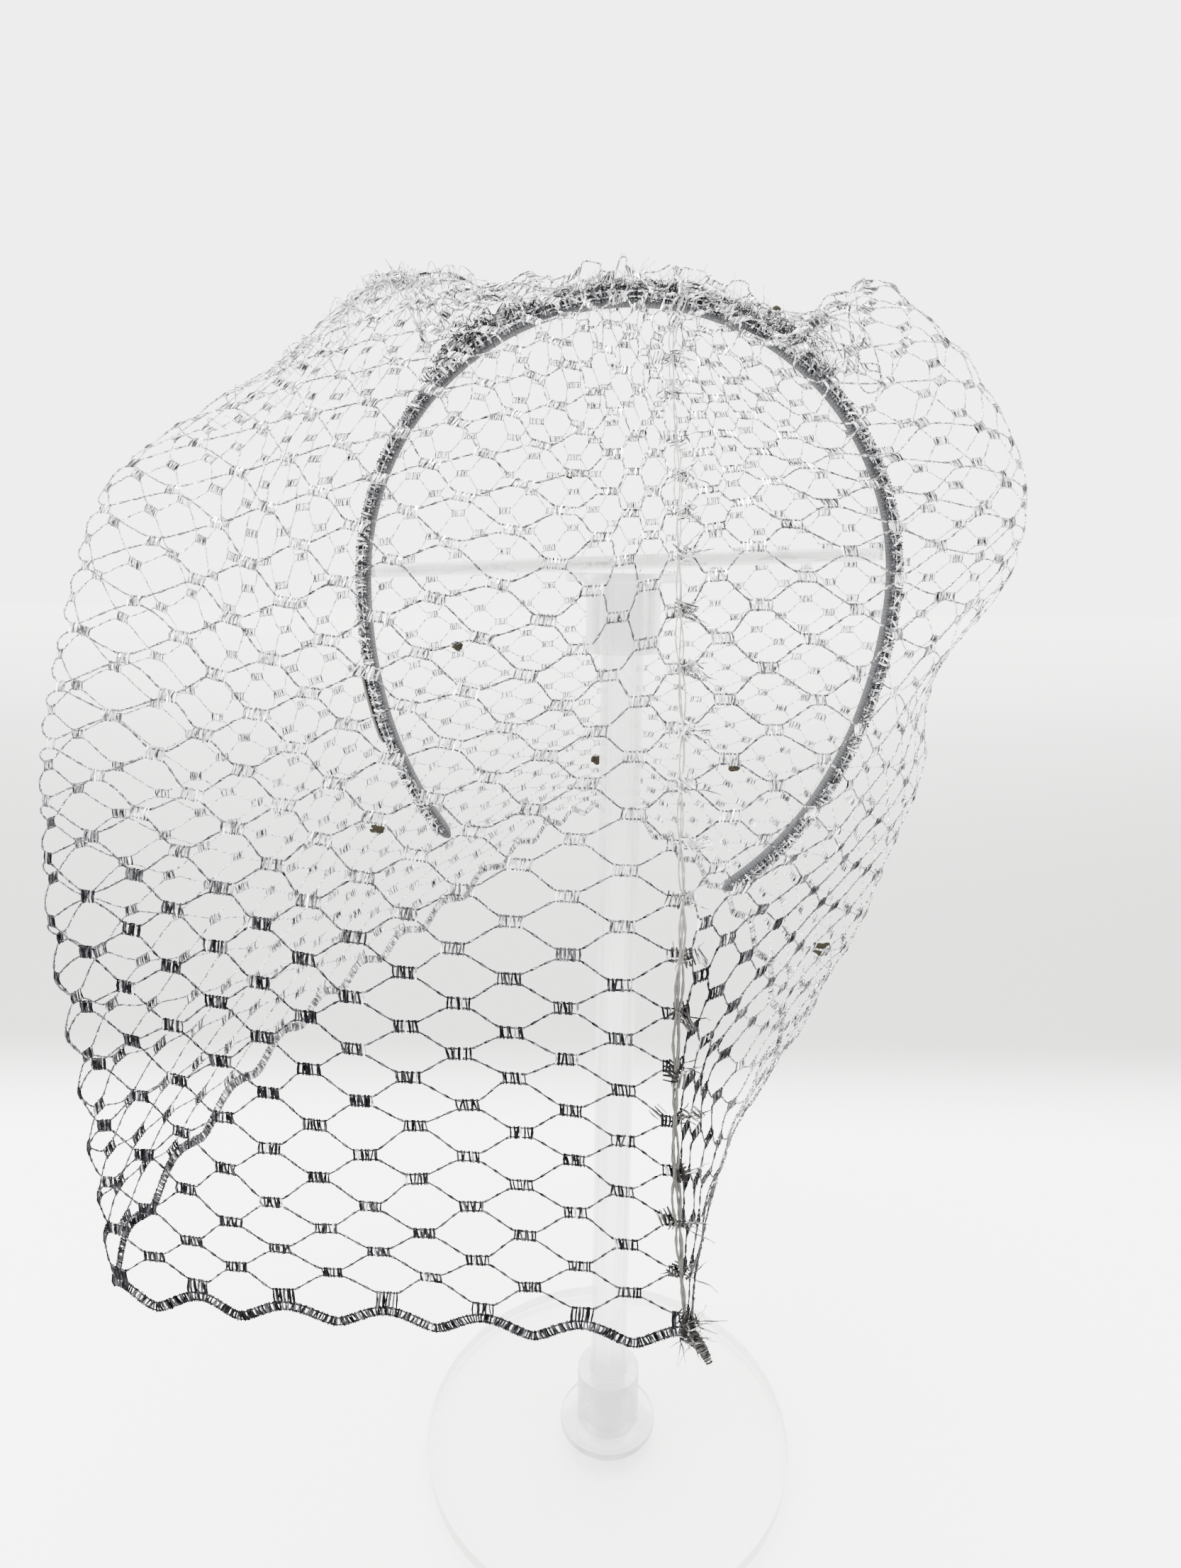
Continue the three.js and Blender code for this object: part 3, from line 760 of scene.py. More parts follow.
# Name, round, place along the sewn edge, side of the band, then x, y and height below that edge
MERIDIANS = [
    ("seam", 0, 0.17, -1, [
        [0.09, -0.27, 0.209], [0.09, -0.48, 0.098], [0.08, -0.72, -0.005], [0.085, -0.84, -0.14],
        [0.085, -0.95, -0.285], [0.085, -0.98, -0.46], [0.12, -1, -0.634]]),
    ("front", 0.05, -0.07, -1, [
        [-0.03, -0.28, 0.209], [-0.1, -0.49, 0.106], [-0.16, -0.72, 0.004], [-0.22, -0.85, -0.132],
        [-0.25, -0.96, -0.277], [-0.22, -0.99, -0.46], [-0.19, -0.97, -0.638]]),
    ("cheek", 0.1, -0.33, -1, [
        [-0.19, -0.25, 0.23], [-0.31, -0.45, 0.145], [-0.46, -0.64, 0.038], [-0.56, -0.82, -0.106],
        [-0.61, -0.94, -0.268], [-0.56, -0.98, -0.46], [-0.5, -0.95, -0.636]]),
    ("left cheek", 0.155, -0.64, -1, [
        [-0.42, -0.17, 0.264], [-0.64, -0.35, 0.183], [-0.81, -0.54, 0.064], [-0.93, -0.74, -0.094],
        [-0.97, -0.86, -0.272], [-0.9, -0.93, -0.468], [-0.83, -0.93, -0.634]]),
    ("left fold", 0.205, -0.95, -1, [
        [-0.57, -0.06, 0.287], [-0.86, -0.12, 0.191], [-1.2, -0.24, 0.083], [-1.29, -0.45, -0.102],
        [-1.26, -0.62, -0.289], [-1.14, -0.78, -0.498], [-1.08, -0.85, -0.626]]),
    ("left", 0.32, -1.08, 0, [
        [-0.59, 0.07, 0.298], [-0.87, 0.16, 0.204], [-1.13, 0.18, 0.085], [-1.24, 0.1, -0.094],
        [-1.18, -0.02, -0.281], [-1.05, -0.1, -0.438], [-0.95, -0.16, -0.562]]),
    ("left back", 0.45, -0.6, 1, [
        [-0.36, 0.13, 0.298], [-0.63, 0.36, 0.221], [-0.88, 0.47, 0.094], [-0.97, 0.5, -0.077],
        [-0.91, 0.49, -0.234], [-0.78, 0.47, -0.391], [-0.64, 0.44, -0.506]]),
    ("back", 0.614, -0.07, 1, [
        [-0.04, 0.18, 0.281], [0, 0.5, 0.2], [0, 0.8, 0.085], [0, 1, -0.081],
        [-0.02, 1.14, -0.213], [-0.04, 1.22, -0.332], [-0.06, 1.28, -0.426]]),
    ("right back", 0.75, 0.52, 1, [
        [0.35, 0.17, 0.268], [0.56, 0.39, 0.213], [0.71, 0.53, 0.085], [0.76, 0.6, -0.064],
        [0.69, 0.65, -0.213], [0.55, 0.64, -0.362], [0.41, 0.59, -0.489]]),
    ("right", 0.85, 1.08, 0, [
        [0.58, 0.02, 0.289], [0.81, 0.03, 0.247], [1.04, 0.04, 0.106], [1.03, 0.04, -0.034],
        [0.83, 0, -0.255], [0.66, -0.05, -0.426], [0.47, -0.1, -0.557]]),
    ("right cheek", 0.92, 0.8, -1, [
        [0.33, -0.25, 0.217], [0.45, -0.36, 0.136], [0.61, -0.47, 0.043], [0.59, -0.5, -0.094],
        [0.49, -0.52, -0.255], [0.37, -0.52, -0.447], [0.27, -0.49, -0.596]]),
    ("right seam side", 0.965, 0.4, -1, [
        [0.18, -0.28, 0.204], [0.24, -0.46, 0.111], [0.3, -0.69, 0.013], [0.31, -0.75, -0.119],
        [0.27, -0.8, -0.264], [0.21, -0.8, -0.455], [0.17, -0.78, -0.621]]),
]
TACK = {"round": 0.862, "down": 0.565, "span_round": 0.04, "span_down": 0.06, "pull": 0.11}
print("veil:", len(MERIDIANS), "meridians of", len(LEVELS), "points")

# %% [markdown]
# The curves between those points are splines, each with the slopes of its neighbours, so the cloth
# has no crease where none was set. One small tack draws it in on the right, where it is caught
# inwards.

# %% Veil surface


def meridian(row):
    """Eight points from the sewn edge down to the hem."""
    _, _, sewn, side, shares = row
    point, out = band_frame(sewn * SEWN_ANGLE)
    edge = point + out * SEWN_OUT - AHEAD * side * SEWN_AHEAD
    below = np.array(shares) * [VEIL_REACH, VEIL_REACH, NET_WIDTH] + [0, 0, DISC_MIDDLE]
    return np.vstack([edge, below])


rounds = np.array([row[1] for row in MERIDIANS] + [1])
seam_line = meridian(MERIDIANS[0])
meridian_points = np.stack([meridian(row) for row in MERIDIANS] + [seam_line], axis=1)
meridian_points[:, 0, 0] -= SEAM_HALF
meridian_points[:, -1, 0] += SEAM_HALF


def spline(knots, values, t, own=False):
    """Smooth curve through uneven knots: in each span of length d it is (2s^3-3s^2+1) p +
    (s^3-2s^2+s) d m + (3s^2-2s^3) q + (s^3-s^2) d n, where the slopes m and n are those between
    the neighbours. own: each place in t has values of its own along the second axis."""
    i = np.clip(np.searchsorted(knots, t, side="right") - 1, 0, len(knots) - 2)
    before = np.maximum(np.arange(len(knots)) - 1, 0)
    after = np.minimum(np.arange(len(knots)) + 1, len(knots) - 1)
    gap = (knots[after] - knots[before]).reshape(-1, *[1] * (values.ndim - 1))
    slopes = (values[after] - values[before]) / gap
    span = knots[i + 1] - knots[i]
    s = (t - knots[i]) / span
    shape = (-1, *[1] * (values.ndim - 1 - own))
    s, span = s.reshape(shape), span.reshape(shape)
    here, there = (i, i + 1) if not own else ((i, np.arange(len(t))), (i + 1, np.arange(len(t))))
    return ((2 * s ** 3 - 3 * s ** 2 + 1) * values[here]
            + (s ** 3 - 2 * s ** 2 + s) * span * slopes[here]
            + (3 * s ** 2 - 2 * s ** 3) * values[there] + (s ** 3 - s ** 2) * span * slopes[there])


def veil(round_, down):
    """Points of the cloth for arrays of round and down of one shape."""
    shape = np.shape(round_)
    r, d = np.ravel(round_), np.ravel(down)
    across = np.swapaxes(spline(LEVELS, meridian_points, d), 0, 1)
    point = spline(rounds, across, r, own=True)
    aside, along = (r - TACK["round"]) / TACK["span_round"], (d - TACK["down"]) / TACK["span_down"]
    point[:, :2] *= 1 - TACK["pull"] * np.exp(-(aside ** 2 + along ** 2))[:, None]
    return point.reshape(*shape, 3)


hem_long = run_of(veil(np.linspace(0, 1, 400), np.ones(400)))[-1]
print("veil: hem", round(hem_long), "mm round")

# %% [markdown]
# ## The net
# The net is knitted, not knotted. Wavy yarns run round it, and where two neighbours come together
# seven ribs bind them into a small ladder block. Next row the blocks stand half a cell over. So a
# yarn is a wave between the blocks above and the blocks below it, flat at each block and straight
# between them. The blocks keep their real size where the cloth is gathered, so the slanting
# stretches grow steep there and the cells turn from diamonds into tall hexagons.

# %% Net plan
CELLS = 33
YARNS = 44
STEPS = 36
ROW_SHARE = 0.023
BLOCK_WIDE = 4.3
BLOCK_MOST = 0.2
BLOCK_HIGH = 1.9
BLOCK_RIBS = 7
YARN_THICK, YARN_THIN = 0.27, 0.18
RIB_RADIUS = 0.27

SLIDE_CELLS = np.array([0, 1.5, 3, 4.5, 6, 7.5, 9, 11, 16, 24, 28.5, 30, 31, 32, 33])
SLIDE_ROWS = np.array([0, 8, 13, 18, 24, 30, 37, 44])
SLIDE_ROUND = np.array([
    [0, 0, 0, 0, 0, 0, 0, 0, 0, 0, 0, 0, 0, 0, 0],
    [0, -0.28, -0.11, -0.11, -0.02, 0.37, 0.94, 1.39, 1.3, 0.23, 0.04, 0.15, 0.21, 0.15, 0],
    [0, -0.41, -0.2, -0.23, -0.17, 0.44, 1.48, 2.13, 1.64, 0.31, 0.01, 0.14, 0.3, 0.22, 0],
    [0, -0.36, -0.37, -0.44, -0.39, 0.46, 1.76, 2.59, 1.71, 0.36, -0.01, -0.04, 0.15, 0.21, 0],
    [0, -0.1, -0.3, -0.54, -0.54, 0.41, 1.75, 2.68, 1.69, 0.4, 0.1, -0.24, -0.32, 0, 0],
    [0, 0.04, -0.15, -0.41, -0.37, 0.35, 1.4, 2.25, 1.65, 0.43, 0.39, 0.42, 0.52, 0.42, 0],
    [0, 0.07, -0.01, -0.1, -0.08, 0.33, 0.94, 1.54, 1.59, 0.48, 0.76, 1.09, 1.12, 0.6, 0],
    [0, 0.12, 0.18, 0.32, 0.27, 0.32, 0.5, 0.84, 1.54, 0.58, 0.86, 0.58, 0.35, 0.18, 0]])
SLIDE_DOWN = np.array([
    [0, 0, 0, 0, 0, 0, 0, 0, 0, 0, 0, 0, 0, 0, 0],
    [-0.96, -1.03, -0.05, 0.39, 0.38, 0.65, 1.17, 1.68, 0.98, 0.13, 0.78, 0.35, -0.2, -0.72, -0.96],
    [-1.07, -0.69, 0.36, 0.6, 0.3, 0.74, 1.84, 2.79, 1.44, 0.19, 1.34, 0.92, 0.03, -0.93, -1.07],
    [-0.63, 0.03, 0.34, 0.55, 0.1, 0.5, 2.43, 3.8, 1.69, 0.2, 1.82, 1.85, 0.95, -0.14, -0.63],
    [-0.21, -0.1, -0.03, 0.02, -0.37, 0.09, 2.29, 4.1, 1.74, 0.19, 1.9, 2.86, 2.69, 1.06, -0.21],
    [-0.22, -0.17, -0.21, -0.58, -0.84, -0.32, 1.28, 2.92, 1.45, 0.13, 1.3, 1.5, 0.9, 0.16, -0.22],
    [-0.56, -1.14, -1.12, -1.29, -1.87, -0.86, 0.17, 1.03, 0.57, -0.16, 0.07, -0.81, -1.68, -1.25,
     -0.56],
    [-0.9, -0.9, -0.9, -0.9, -0.9, -0.9, -0.9, -0.9, -0.9, -0.9, -0.9, -0.9, -0.9, -0.9, -0.9]])
slides = np.stack([SLIDE_ROUND, SLIDE_DOWN], axis=-1)

print("net plan:", CELLS, "cells round,", YARNS, "yarns down")

# %% [markdown]
# ## The net's lattice
# Every place on the netting is named by a cell and a row. Two splines slide that lattice over the
# cloth as the real one hangs, a slow sum of sines crumples it where it is gathered, and every
# block slips a little.

# %% Net lattice
slip_round = rng.normal(0, 0.22, (YARNS + 2, CELLS + 3))
slip_down = rng.normal(0, 0.2, (YARNS + 2, CELLS + 3))
WAVES = 14
wave_round = rng.uniform(1, 26, WAVES)
wave_down = rng.uniform(-9, 9, WAVES)
wave_start = rng.uniform(0, 2 * np.pi, (3, WAVES))


def lattice(cell, row):
    """Round and down on the cloth of a place so many cells round and rows down the netting."""
    c, r = np.ravel(cell), np.ravel(row)
    across = np.swapaxes(spline(SLIDE_ROWS, slides, np.clip(r, 0, YARNS)), 0, 1)
    slid = spline(SLIDE_CELLS, across, np.clip(c, 0, CELLS), own=True)
    round_ = np.clip((c + slid[:, 0]) / CELLS, 0, 1)
    return round_.reshape(np.shape(cell)), ((r + slid[:, 1]) * ROW_SHARE).reshape(np.shape(cell))


def net_frame(cell, row):
    """Outward normal of the cloth there, and the millimetres that one cell and one row span."""
    c0, c1 = np.clip(cell - 0.15, 0, CELLS), np.clip(cell + 0.15, 0, CELLS)
    r0, r1 = np.clip(row - 0.15, 0, YARNS), np.clip(row + 0.15, 0, YARNS)
    by_cell = (veil(*lattice(c1, row)) - veil(*lattice(c0, row))) / (c1 - c0)[..., None]
    by_row = (veil(*lattice(cell, r1)) - veil(*lattice(cell, r0))) / (r1 - r0)[..., None]
    wide, deep = np.linalg.norm(by_cell, axis=-1), np.linalg.norm(by_row, axis=-1)
    return unit(np.cross(by_cell, by_row)), wide, deep


def row_shift(row):
    """Blocks under a yarn stand at whole cells or half a cell over, at whole cells by the hem."""
    return 0.5 * ((YARNS - 1 - row) % 2)


print("lattice: slid at", len(SLIDE_CELLS), "by", len(SLIDE_ROWS), "places")

# %% [markdown]
# ## The yarns' own paths
# A yarn is then one formula of its row: flat at a block, slanting to the next. Its tone is set
# along with its path, as painted light and shade: foil is painted bright where it faces the light
# of the room and dark elsewhere.

# %% Net yarns
def sway(cell, row):
    """Three smooth chances between about -1 and 1, as sums of sines over the netting."""
    phase = 2 * np.pi * (cell[..., None] * wave_round / CELLS + row[..., None] * wave_down / YARNS)
    return [np.sin(phase + start).sum(axis=-1) / np.sqrt(WAVES) for start in wave_start]


def cloth(cell, row):
    """The netting in place with its small folds: crumpled where gathered, nearly smooth below."""
    normal, _, _ = net_frame(cell, row)
    point = veil(*lattice(cell, row))
    out, drift, lift = sway(cell, row)
    gathered = np.exp(-(row / 4.5) ** 2)
    free = smooth_step(0, 0.7, cell) * smooth_step(0, 0.7, CELLS - cell)
    point = point + normal * (out * (0.4 + 1.2 * gathered) * free)[..., None]
    crumple = np.stack([drift, lift * 0.3, lift * 0.6], axis=-1)
    return point + crumple * (1.3 * gathered * free)[..., None], normal


def swing(row, cell):
    """Where a yarn runs: flat at the blocks below and above it, slanting between, with slips."""
    _, wide, deep = net_frame(cell, row)
    flat = np.minimum(BLOCK_WIDE / 2 / wide, BLOCK_MOST)
    near = np.rint(cell - row_shift(row))
    t = np.clip((np.abs(cell - row_shift(row) - near) - flat) / (0.5 - 2 * flat), 0, 1)
    ease = 0.75 * t + 0.25 * t * t * (3 - 2 * t)
    reach = np.maximum(0.5 - BLOCK_HIGH / 2 / deep, 0.05)
    low = (row.astype(int) + 1, (near + 1).astype(int))
    high = (row.astype(int), (np.rint(cell - row_shift(row - 1)) + 1).astype(int))
    slip_r = (1 - ease) * slip_round[low] + ease * slip_round[high]
    slip_d = (1 - ease) * slip_down[low] + ease * slip_down[high]
    return np.clip(cell + slip_r / wide, 0, CELLS), row + (1 - 2 * ease) * reach + slip_d / deep


def painted_light_at(point, normal, low, high, far):
    """Painted light and shade of the foil: high on the lit crown, low on the shaded lower front,
    far on the distant side and on the fold right of the seam."""
    x, y, z = point[..., 0], point[..., 1], point[..., 2]
    crown = 214 + 0.14 * np.abs(x)
    lit = smooth_step(crown - 14, crown + 14, z) * smooth_step(-0.25, 0.25, -normal[..., 1])
    aside = smooth_step(12, 30, x) * (1 - smooth_step(188, 212, z))
    depth = np.maximum(np.clip((y + 80) / 80, 0, 1), 0.8 * aside)
    return (low + (high - low) * lit) * (1 - depth) + far * depth


net_cell, net_row = np.meshgrid(np.linspace(0, CELLS, CELLS * STEPS + 1), np.arange(YARNS) * 1.0)
yarn_cell, yarn_row = swing(net_row, net_cell)
yarn_row = np.maximum(yarn_row, 0)
yarn_point, yarn_out = cloth(yarn_cell, yarn_row)
# Painted light and shade of the net's yarns, set by height and by facing.
yarn_tone = painted_light_at(yarn_point, yarn_out, 0.2, 0.38, 0.72)
print("net:", YARNS * CELLS, "cells,", round(hem_long / CELLS, 1), "mm wide each at the hem")

# %% [markdown]
# ## The net's blocks
# Seven short ribs bind two neighbouring yarns into a block. Their tops and bottoms are read off
# the two yarns themselves, so a block follows every slip of the lattice. The last row of ribs
# reaches down to the hem, which hangs from it, so the hem's line is worked out here too.

# %% Net blocks
HEM_RADIUS = 0.9
HEM_DROP = 0.1
HEM_WAVE = 3.6


def hem_line(cell):
    """The lowest row let down by drop + wave (1 - |cos(pi c)|^1.5), with c the place in cells."""
    row = np.full_like(cell, YARNS)
    normal, _, _ = net_frame(cell, row - 0.2)
    edge = veil(*lattice(cell, row))
    down = unit(edge - veil(*lattice(cell, row - 1)))
    wave = HEM_WAVE * (1 - np.abs(np.cos(np.pi * cell)) ** 1.5)
    return edge + down * (HEM_DROP + wave)[:, None], down, normal


def block_ribs():
    """Tops and bottoms of every rib, its outward way, its tone and the cell that it stands in."""
    counts = (np.arange(YARNS), np.arange(CELLS + 1), np.linspace(-1, 1, BLOCK_RIBS))
    rows, blocks, across = [grid.ravel() for grid in np.meshgrid(*counts, indexing="ij")]
    centre = blocks + row_shift(rows)
    _, wide, _ = net_frame(np.minimum(centre, CELLS), rows + 0.5)
    sparse = (wide > 7) | (np.abs(across) > 0.5)
    rows, centre, across, wide = rows[sparse], centre[sparse], across[sparse], wide[sparse]
    place = centre + across * 0.93 * np.minimum(BLOCK_WIDE / 2 / wide, BLOCK_MOST)
    inside = (place >= 0) & (place <= CELLS)
    rows, place = rows[inside].astype(float), place[inside]
    top_cell, top_row = swing(rows, place)
    foot_cell, foot_row = swing(np.minimum(rows + 1, YARNS - 1.0), place)
    tops, out = cloth(top_cell, np.maximum(top_row, 0))
    bottoms, _ = cloth(foot_cell, foot_row)
    last = rows == YARNS - 1
    hem_points, hem_way, _ = hem_line(place)
    bottoms = np.where(last[:, None], hem_points - hem_way * HEM_RADIUS, bottoms)
    slant = rng.normal(0, 0.14, (len(tops), 2, 1)) * unit(np.cross(out, bottoms - tops))[:, None]
    # Painted glints: one rib in ten is painted much brighter.
    glint = 0.6 * (rng.random(len(tops)) < 0.1)
    tone = painted_light_at(tops, out, 0.02, 0.76, 0.56) + glint + rng.normal(0, 0.06, len(tops))
    cell = np.clip(place.astype(int), 0, CELLS - 1)
    return tops + slant[:, 0], bottoms + slant[:, 1], out, tone, cell


rib_tops, rib_bottoms, rib_out, rib_tone, rib_cell = block_ribs()
print("net:", len(rib_tops), "ribs in", len(rib_tops) // BLOCK_RIBS, "blocks")

# %% [markdown]
# The net is written as four neighbouring lengths, each a share of the netting's length, so that
# no piece grows too heavy. The cut is a full rectangle, but the net is open, and half the surface
# of its yarns is only about a quarter of that. An area is checked against the mesh, so the yarn's
# is stated, at 0.3, the least share that can be.

# %% Net pieces
LENGTHS = {"net_front": (0, 8), "net_left": (8, 16), "net_back": (16, 25), "net_right": (25, CELLS)}
YARN_SHARE = 0.3
NET_LONG = 0.67
for length_name, (first, last) in LENGTHS.items():
    cut = slice(first * STEPS, last * STEPS + 1)
    count = (last - first) * STEPS + 1
    twist = np.arange(count)[None] * np.pi / 4
    shades = painted_glints(yarn_tone[:, cut])
    yarns = yarn(yarn_point[:, cut], yarn_out[:, cut], YARN_THICK, YARN_THIN, twist, shades)
    mine = (rib_cell >= first) & (rib_cell < last)
    blocks = ribs(rib_tops[mine], rib_bottoms[mine], rib_out[mine], RIB_RADIUS, rib_tone[mine])
    make_piece(length_name, [yarns, blocks], YARN, node="veil_net")

# %% [markdown]
# ## Hem
# The hem is the netting's firm lower edge. It hangs in a shallow scallop from block to block, so
# its line is the veil's edge let down by a wave with one crest for each cell.

# %% Hem
HEM_WIDE = 1.75
hem_cell = np.linspace(0, CELLS, CELLS * 24 + 1)
hem_path, _, hem_out = hem_line(hem_cell)
hem_across = unit(np.cross(hem_out, np.gradient(hem_path, axis=0)))
hem_tone = painted_light_at(hem_path, hem_out, 0.07, 0.07, 0.56)
hem_parts = ladder(hem_path, hem_across, hem_out, wide=HEM_WIDE, spacing=0.52, rail=0.26, rib=0.27,
                   tone=hem_tone, uneven=0.3)
hem_piece = make_piece("net_hem", hem_parts, YARN, node="hem")

# %% [markdown]
# ## Loose strands
# Crushed and frayed netting is made of three kinds of strand: loops that rise and come back, ends
# that stand off, and short ladders lying every way. Each kind is made many at a time, from the
# places of its roots, so the gathers, the seam and the knot can all use them.

# %% Loose strands
def tangle(start, out, size, thick, tone):
    """Loops p + t (q - p) + out size sin(pi t) + wander, of nine points each."""
    count = len(start)
    way = unit(rng.normal(0, 1, (count, 3)) * [1, 0.6, 0.25])
    end = start + way * rng.uniform(0.6, 1.6, (count, 1)) * size * 0.7
    t = np.linspace(0, 1, 9)[None, :, None]
    bow = np.sin(np.pi * t) * rng.uniform(0.15, 0.8, (count, 1, 1)) * size * out[:, None]
    swerve = np.sin(2 * np.pi * t + rng.uniform(0, 6, (count, 1, 1)))
    drift = swerve * rng.normal(0, 0.16 * size, (count, 1, 3))
    paths = start[:, None] * (1 - t) + end[:, None] * t + bow + drift
    base = np.clip(rng.normal(tone, 0.18, (count, 1)), 0, 1) * np.ones((1, 9))
    return yarn(paths, np.broadcast_to(LOOSE, paths.shape), thick, thick * 0.65,
                np.arange(9)[None] * 0.8, painted_glints(base))


def ends(root, way, long, thick, tone, curl=0.25):
    """Frayed ends of seven points that leave their roots along way and wander."""
    count = len(root)
    t = np.linspace(0, 1, 7)[None, :, None]
    bend = unit(rng.normal(0, 1, (count, 1, 3))) * curl * long[:, None] * t ** 2
    shake = rng.normal(0, 0.03, (count, 7, 3)) * long[:, None]
    paths = root[:, None] + way[:, None] * long[:, None] * t + bend + shake * t
    base = np.clip(rng.normal(tone, 0.2, (count, 1)), 0, 1) * np.ones((1, 7))
    thickness = thick * (1 - 0.4 * t[..., 0])
    return yarn(paths, np.broadcast_to(LOOSE, paths.shape), thickness, thickness * 0.65,
                np.arange(7)[None] * 0.8, painted_glints(base))


def crumbs(middle, out, tone):
    """Short ladders of four ribs, lying every way about their middles."""
    count = len(middle)
    way = unit(rng.normal(0, 1, (count, 3)) * [1, 0.5, 0.6])
    over = unit(np.cross(way, out + rng.normal(0, 0.4, (count, 3))))
    places_in = (np.arange(4) - 1.5)[None, :, None] * 0.85
    centres = middle[:, None] + way[:, None] * places_in
    half = over[:, None] * rng.uniform(0.9, 1.5, (count, 1, 1))
    flat_out = np.repeat(unit(np.cross(over, way))[:, None], 4, axis=1).reshape(-1, 3)
    tones = np.repeat(np.clip(rng.normal(tone, 0.22, count), 0, 1), 4)
    tops, bottoms = (centres + half).reshape(-1, 3), (centres - half).reshape(-1, 3)
    return ribs(tops, bottoms, flat_out, 0.24, tones)


print("loose strands ready")

# %% [markdown]
# ## Gathers along the crest
# Along the top of the band the netting's raw edge is folded, bunched and stitched. From near by it
# is a matted row of loops, crushed blocks and frayed ends, thickest in two clumps, and it is
# crumpled out over the left shoulder of the veil.

# %% Gathered edge
def scattered(count, centre, spread, rise=(0, 1)):
    """Places on top of the band: angles about a centre, across its width and up."""
    angle = centre + spread * np.clip(rng.normal(0, 0.55, count), -1, 1)
    point, out = band_frame(angle)
    across = rng.uniform(-0.5, 0.5, (count, 1)) * BAND_WIDE
    height = rng.uniform(*rise, (count, 1))
    return point + out * (BAND_THICK / 2 + 0.3 + height) + AHEAD * across, out


def loops(count, centre, spread, size, thick, tone):
    """Loops scattered on the band."""
    return tangle(*scattered(count, centre, spread, (0, size * 0.35)), size, thick, tone)


def shoulder(count):
    """Places on the crumpled front of the left shoulder, just beyond the sewn edge."""
    cell, row = rng.uniform(4.5, 9, count), np.abs(rng.normal(0, 3.5, count)) + 2.2
    place, out = cloth(cell, row)
    return place - 1.5 * out, out


CREST = np.radians(5)
CREST_SPREAD = np.radians(34)
LEFT_CLUMP = np.radians(-38)
RIGHT_CLUMP = np.radians(29)
EDGE_ENDS = 330
edge_parts = [
    loops(760, CREST, CREST_SPREAD, 2.5, 0.12, 0.56),
    loops(170, LEFT_CLUMP, np.radians(7), 3.8, 0.16, 0.3),
    loops(120, RIGHT_CLUMP, np.radians(6), 3.6, 0.15, 0.34),
    crumbs(*scattered(200, CREST, CREST_SPREAD, (0.1, 1.5)), 0.66),
    crumbs(*scattered(60, LEFT_CLUMP, np.radians(12), (0.2, 2.6)), 0.6),
    tangle(*shoulder(220), 4.4, 0.12, 0.62),
]
edge_root, edge_out = scattered(EDGE_ENDS, CREST, CREST_SPREAD, (0.3, 3))
edge_way = unit(edge_out + rng.normal(0, 0.8, edge_out.shape))
edge_parts.append(ends(edge_root, edge_way, rng.uniform(1.2, 4.6, (EDGE_ENDS, 1)), 0.1, 0.5, 0.5))
edge_piece = make_piece("gathered_edge_net", edge_parts, FUZZ, node="gathered_edge")

# %% [markdown]
# ## Seam
# The netting's two cut ends are drawn together in front by three strands of plain grey thread. The
# strands pinch at every block and bow apart between. High up the thread is thinner, and it is
# painted paler there, as painted light where the light of the room falls on it.

# %% Seam
SEAM_STRANDS = 3
SEAM_SAMPLES = 420
seam_row = np.linspace(1, YARNS - 0.2, SEAM_SAMPLES)
_, seam_down = lattice(np.zeros(SEAM_SAMPLES), seam_row)
seam_path = spline(LEVELS, seam_line, np.clip(seam_down, 0, 1))
pinch = np.abs(np.sin(np.pi * (seam_row - YARNS + 0.5) / 2))
seam_paths = []
for strand in range(SEAM_STRANDS):
    lean = 2 * np.pi * (strand + 0.3) / SEAM_STRANDS
    bow = np.stack([np.cos(lean) * pinch * 0.62, np.full(SEAM_SAMPLES, -0.8), 0 * pinch], axis=1)
    wander = np.sin(seam_down * (31 + 9 * strand) + strand)[:, None] * [0.3, 0.15, 0]
    seam_paths.append(seam_path + bow + wander)
seam_paths = np.stack(seam_paths)
# Painted light: the thread is painted paler high up.
seam_lit = np.stack([smooth_step(200, 236, seam_path[:, 2])] * SEAM_STRANDS)
seam_out = np.broadcast_to([0.2, -1, 0.1], seam_paths.shape)
seam_part = yarn(seam_paths, seam_out, 0.34 - 0.17 * seam_lit, 0.28 - 0.14 * seam_lit,
                 np.arange(SEAM_SAMPLES)[None] * 0.3, 0.08 + 0.8 * seam_lit)
make_piece("seam_strands", [seam_part], THREAD, "seam_thread")

# %% [markdown]
# Each cut yarn of the net sticks out past the thread as a short frayed end, mostly to the right,
# and the cut blocks are bunched at every pinch.

# %% Seam ends
knot_rows = np.repeat(np.arange(1.5, YARNS, 2), 6)
_, cut_down = lattice(np.zeros(len(knot_rows)), knot_rows)
cut_root = spline(LEVELS, seam_line, np.clip(cut_down, 0, 1))
cut_root = cut_root + rng.normal(0, 0.5, cut_root.shape)
to_right = rng.random(len(cut_root)) < 0.75
cut_way = np.stack([np.where(to_right, 1, -0.55), rng.uniform(-0.5, 0.15, len(cut_root)),
                    rng.normal(0, 0.45, len(cut_root))], axis=1)
cut_long = rng.uniform(2.2, 7, (len(cut_root), 1)) * np.where(to_right, 1, 0.6)[:, None]
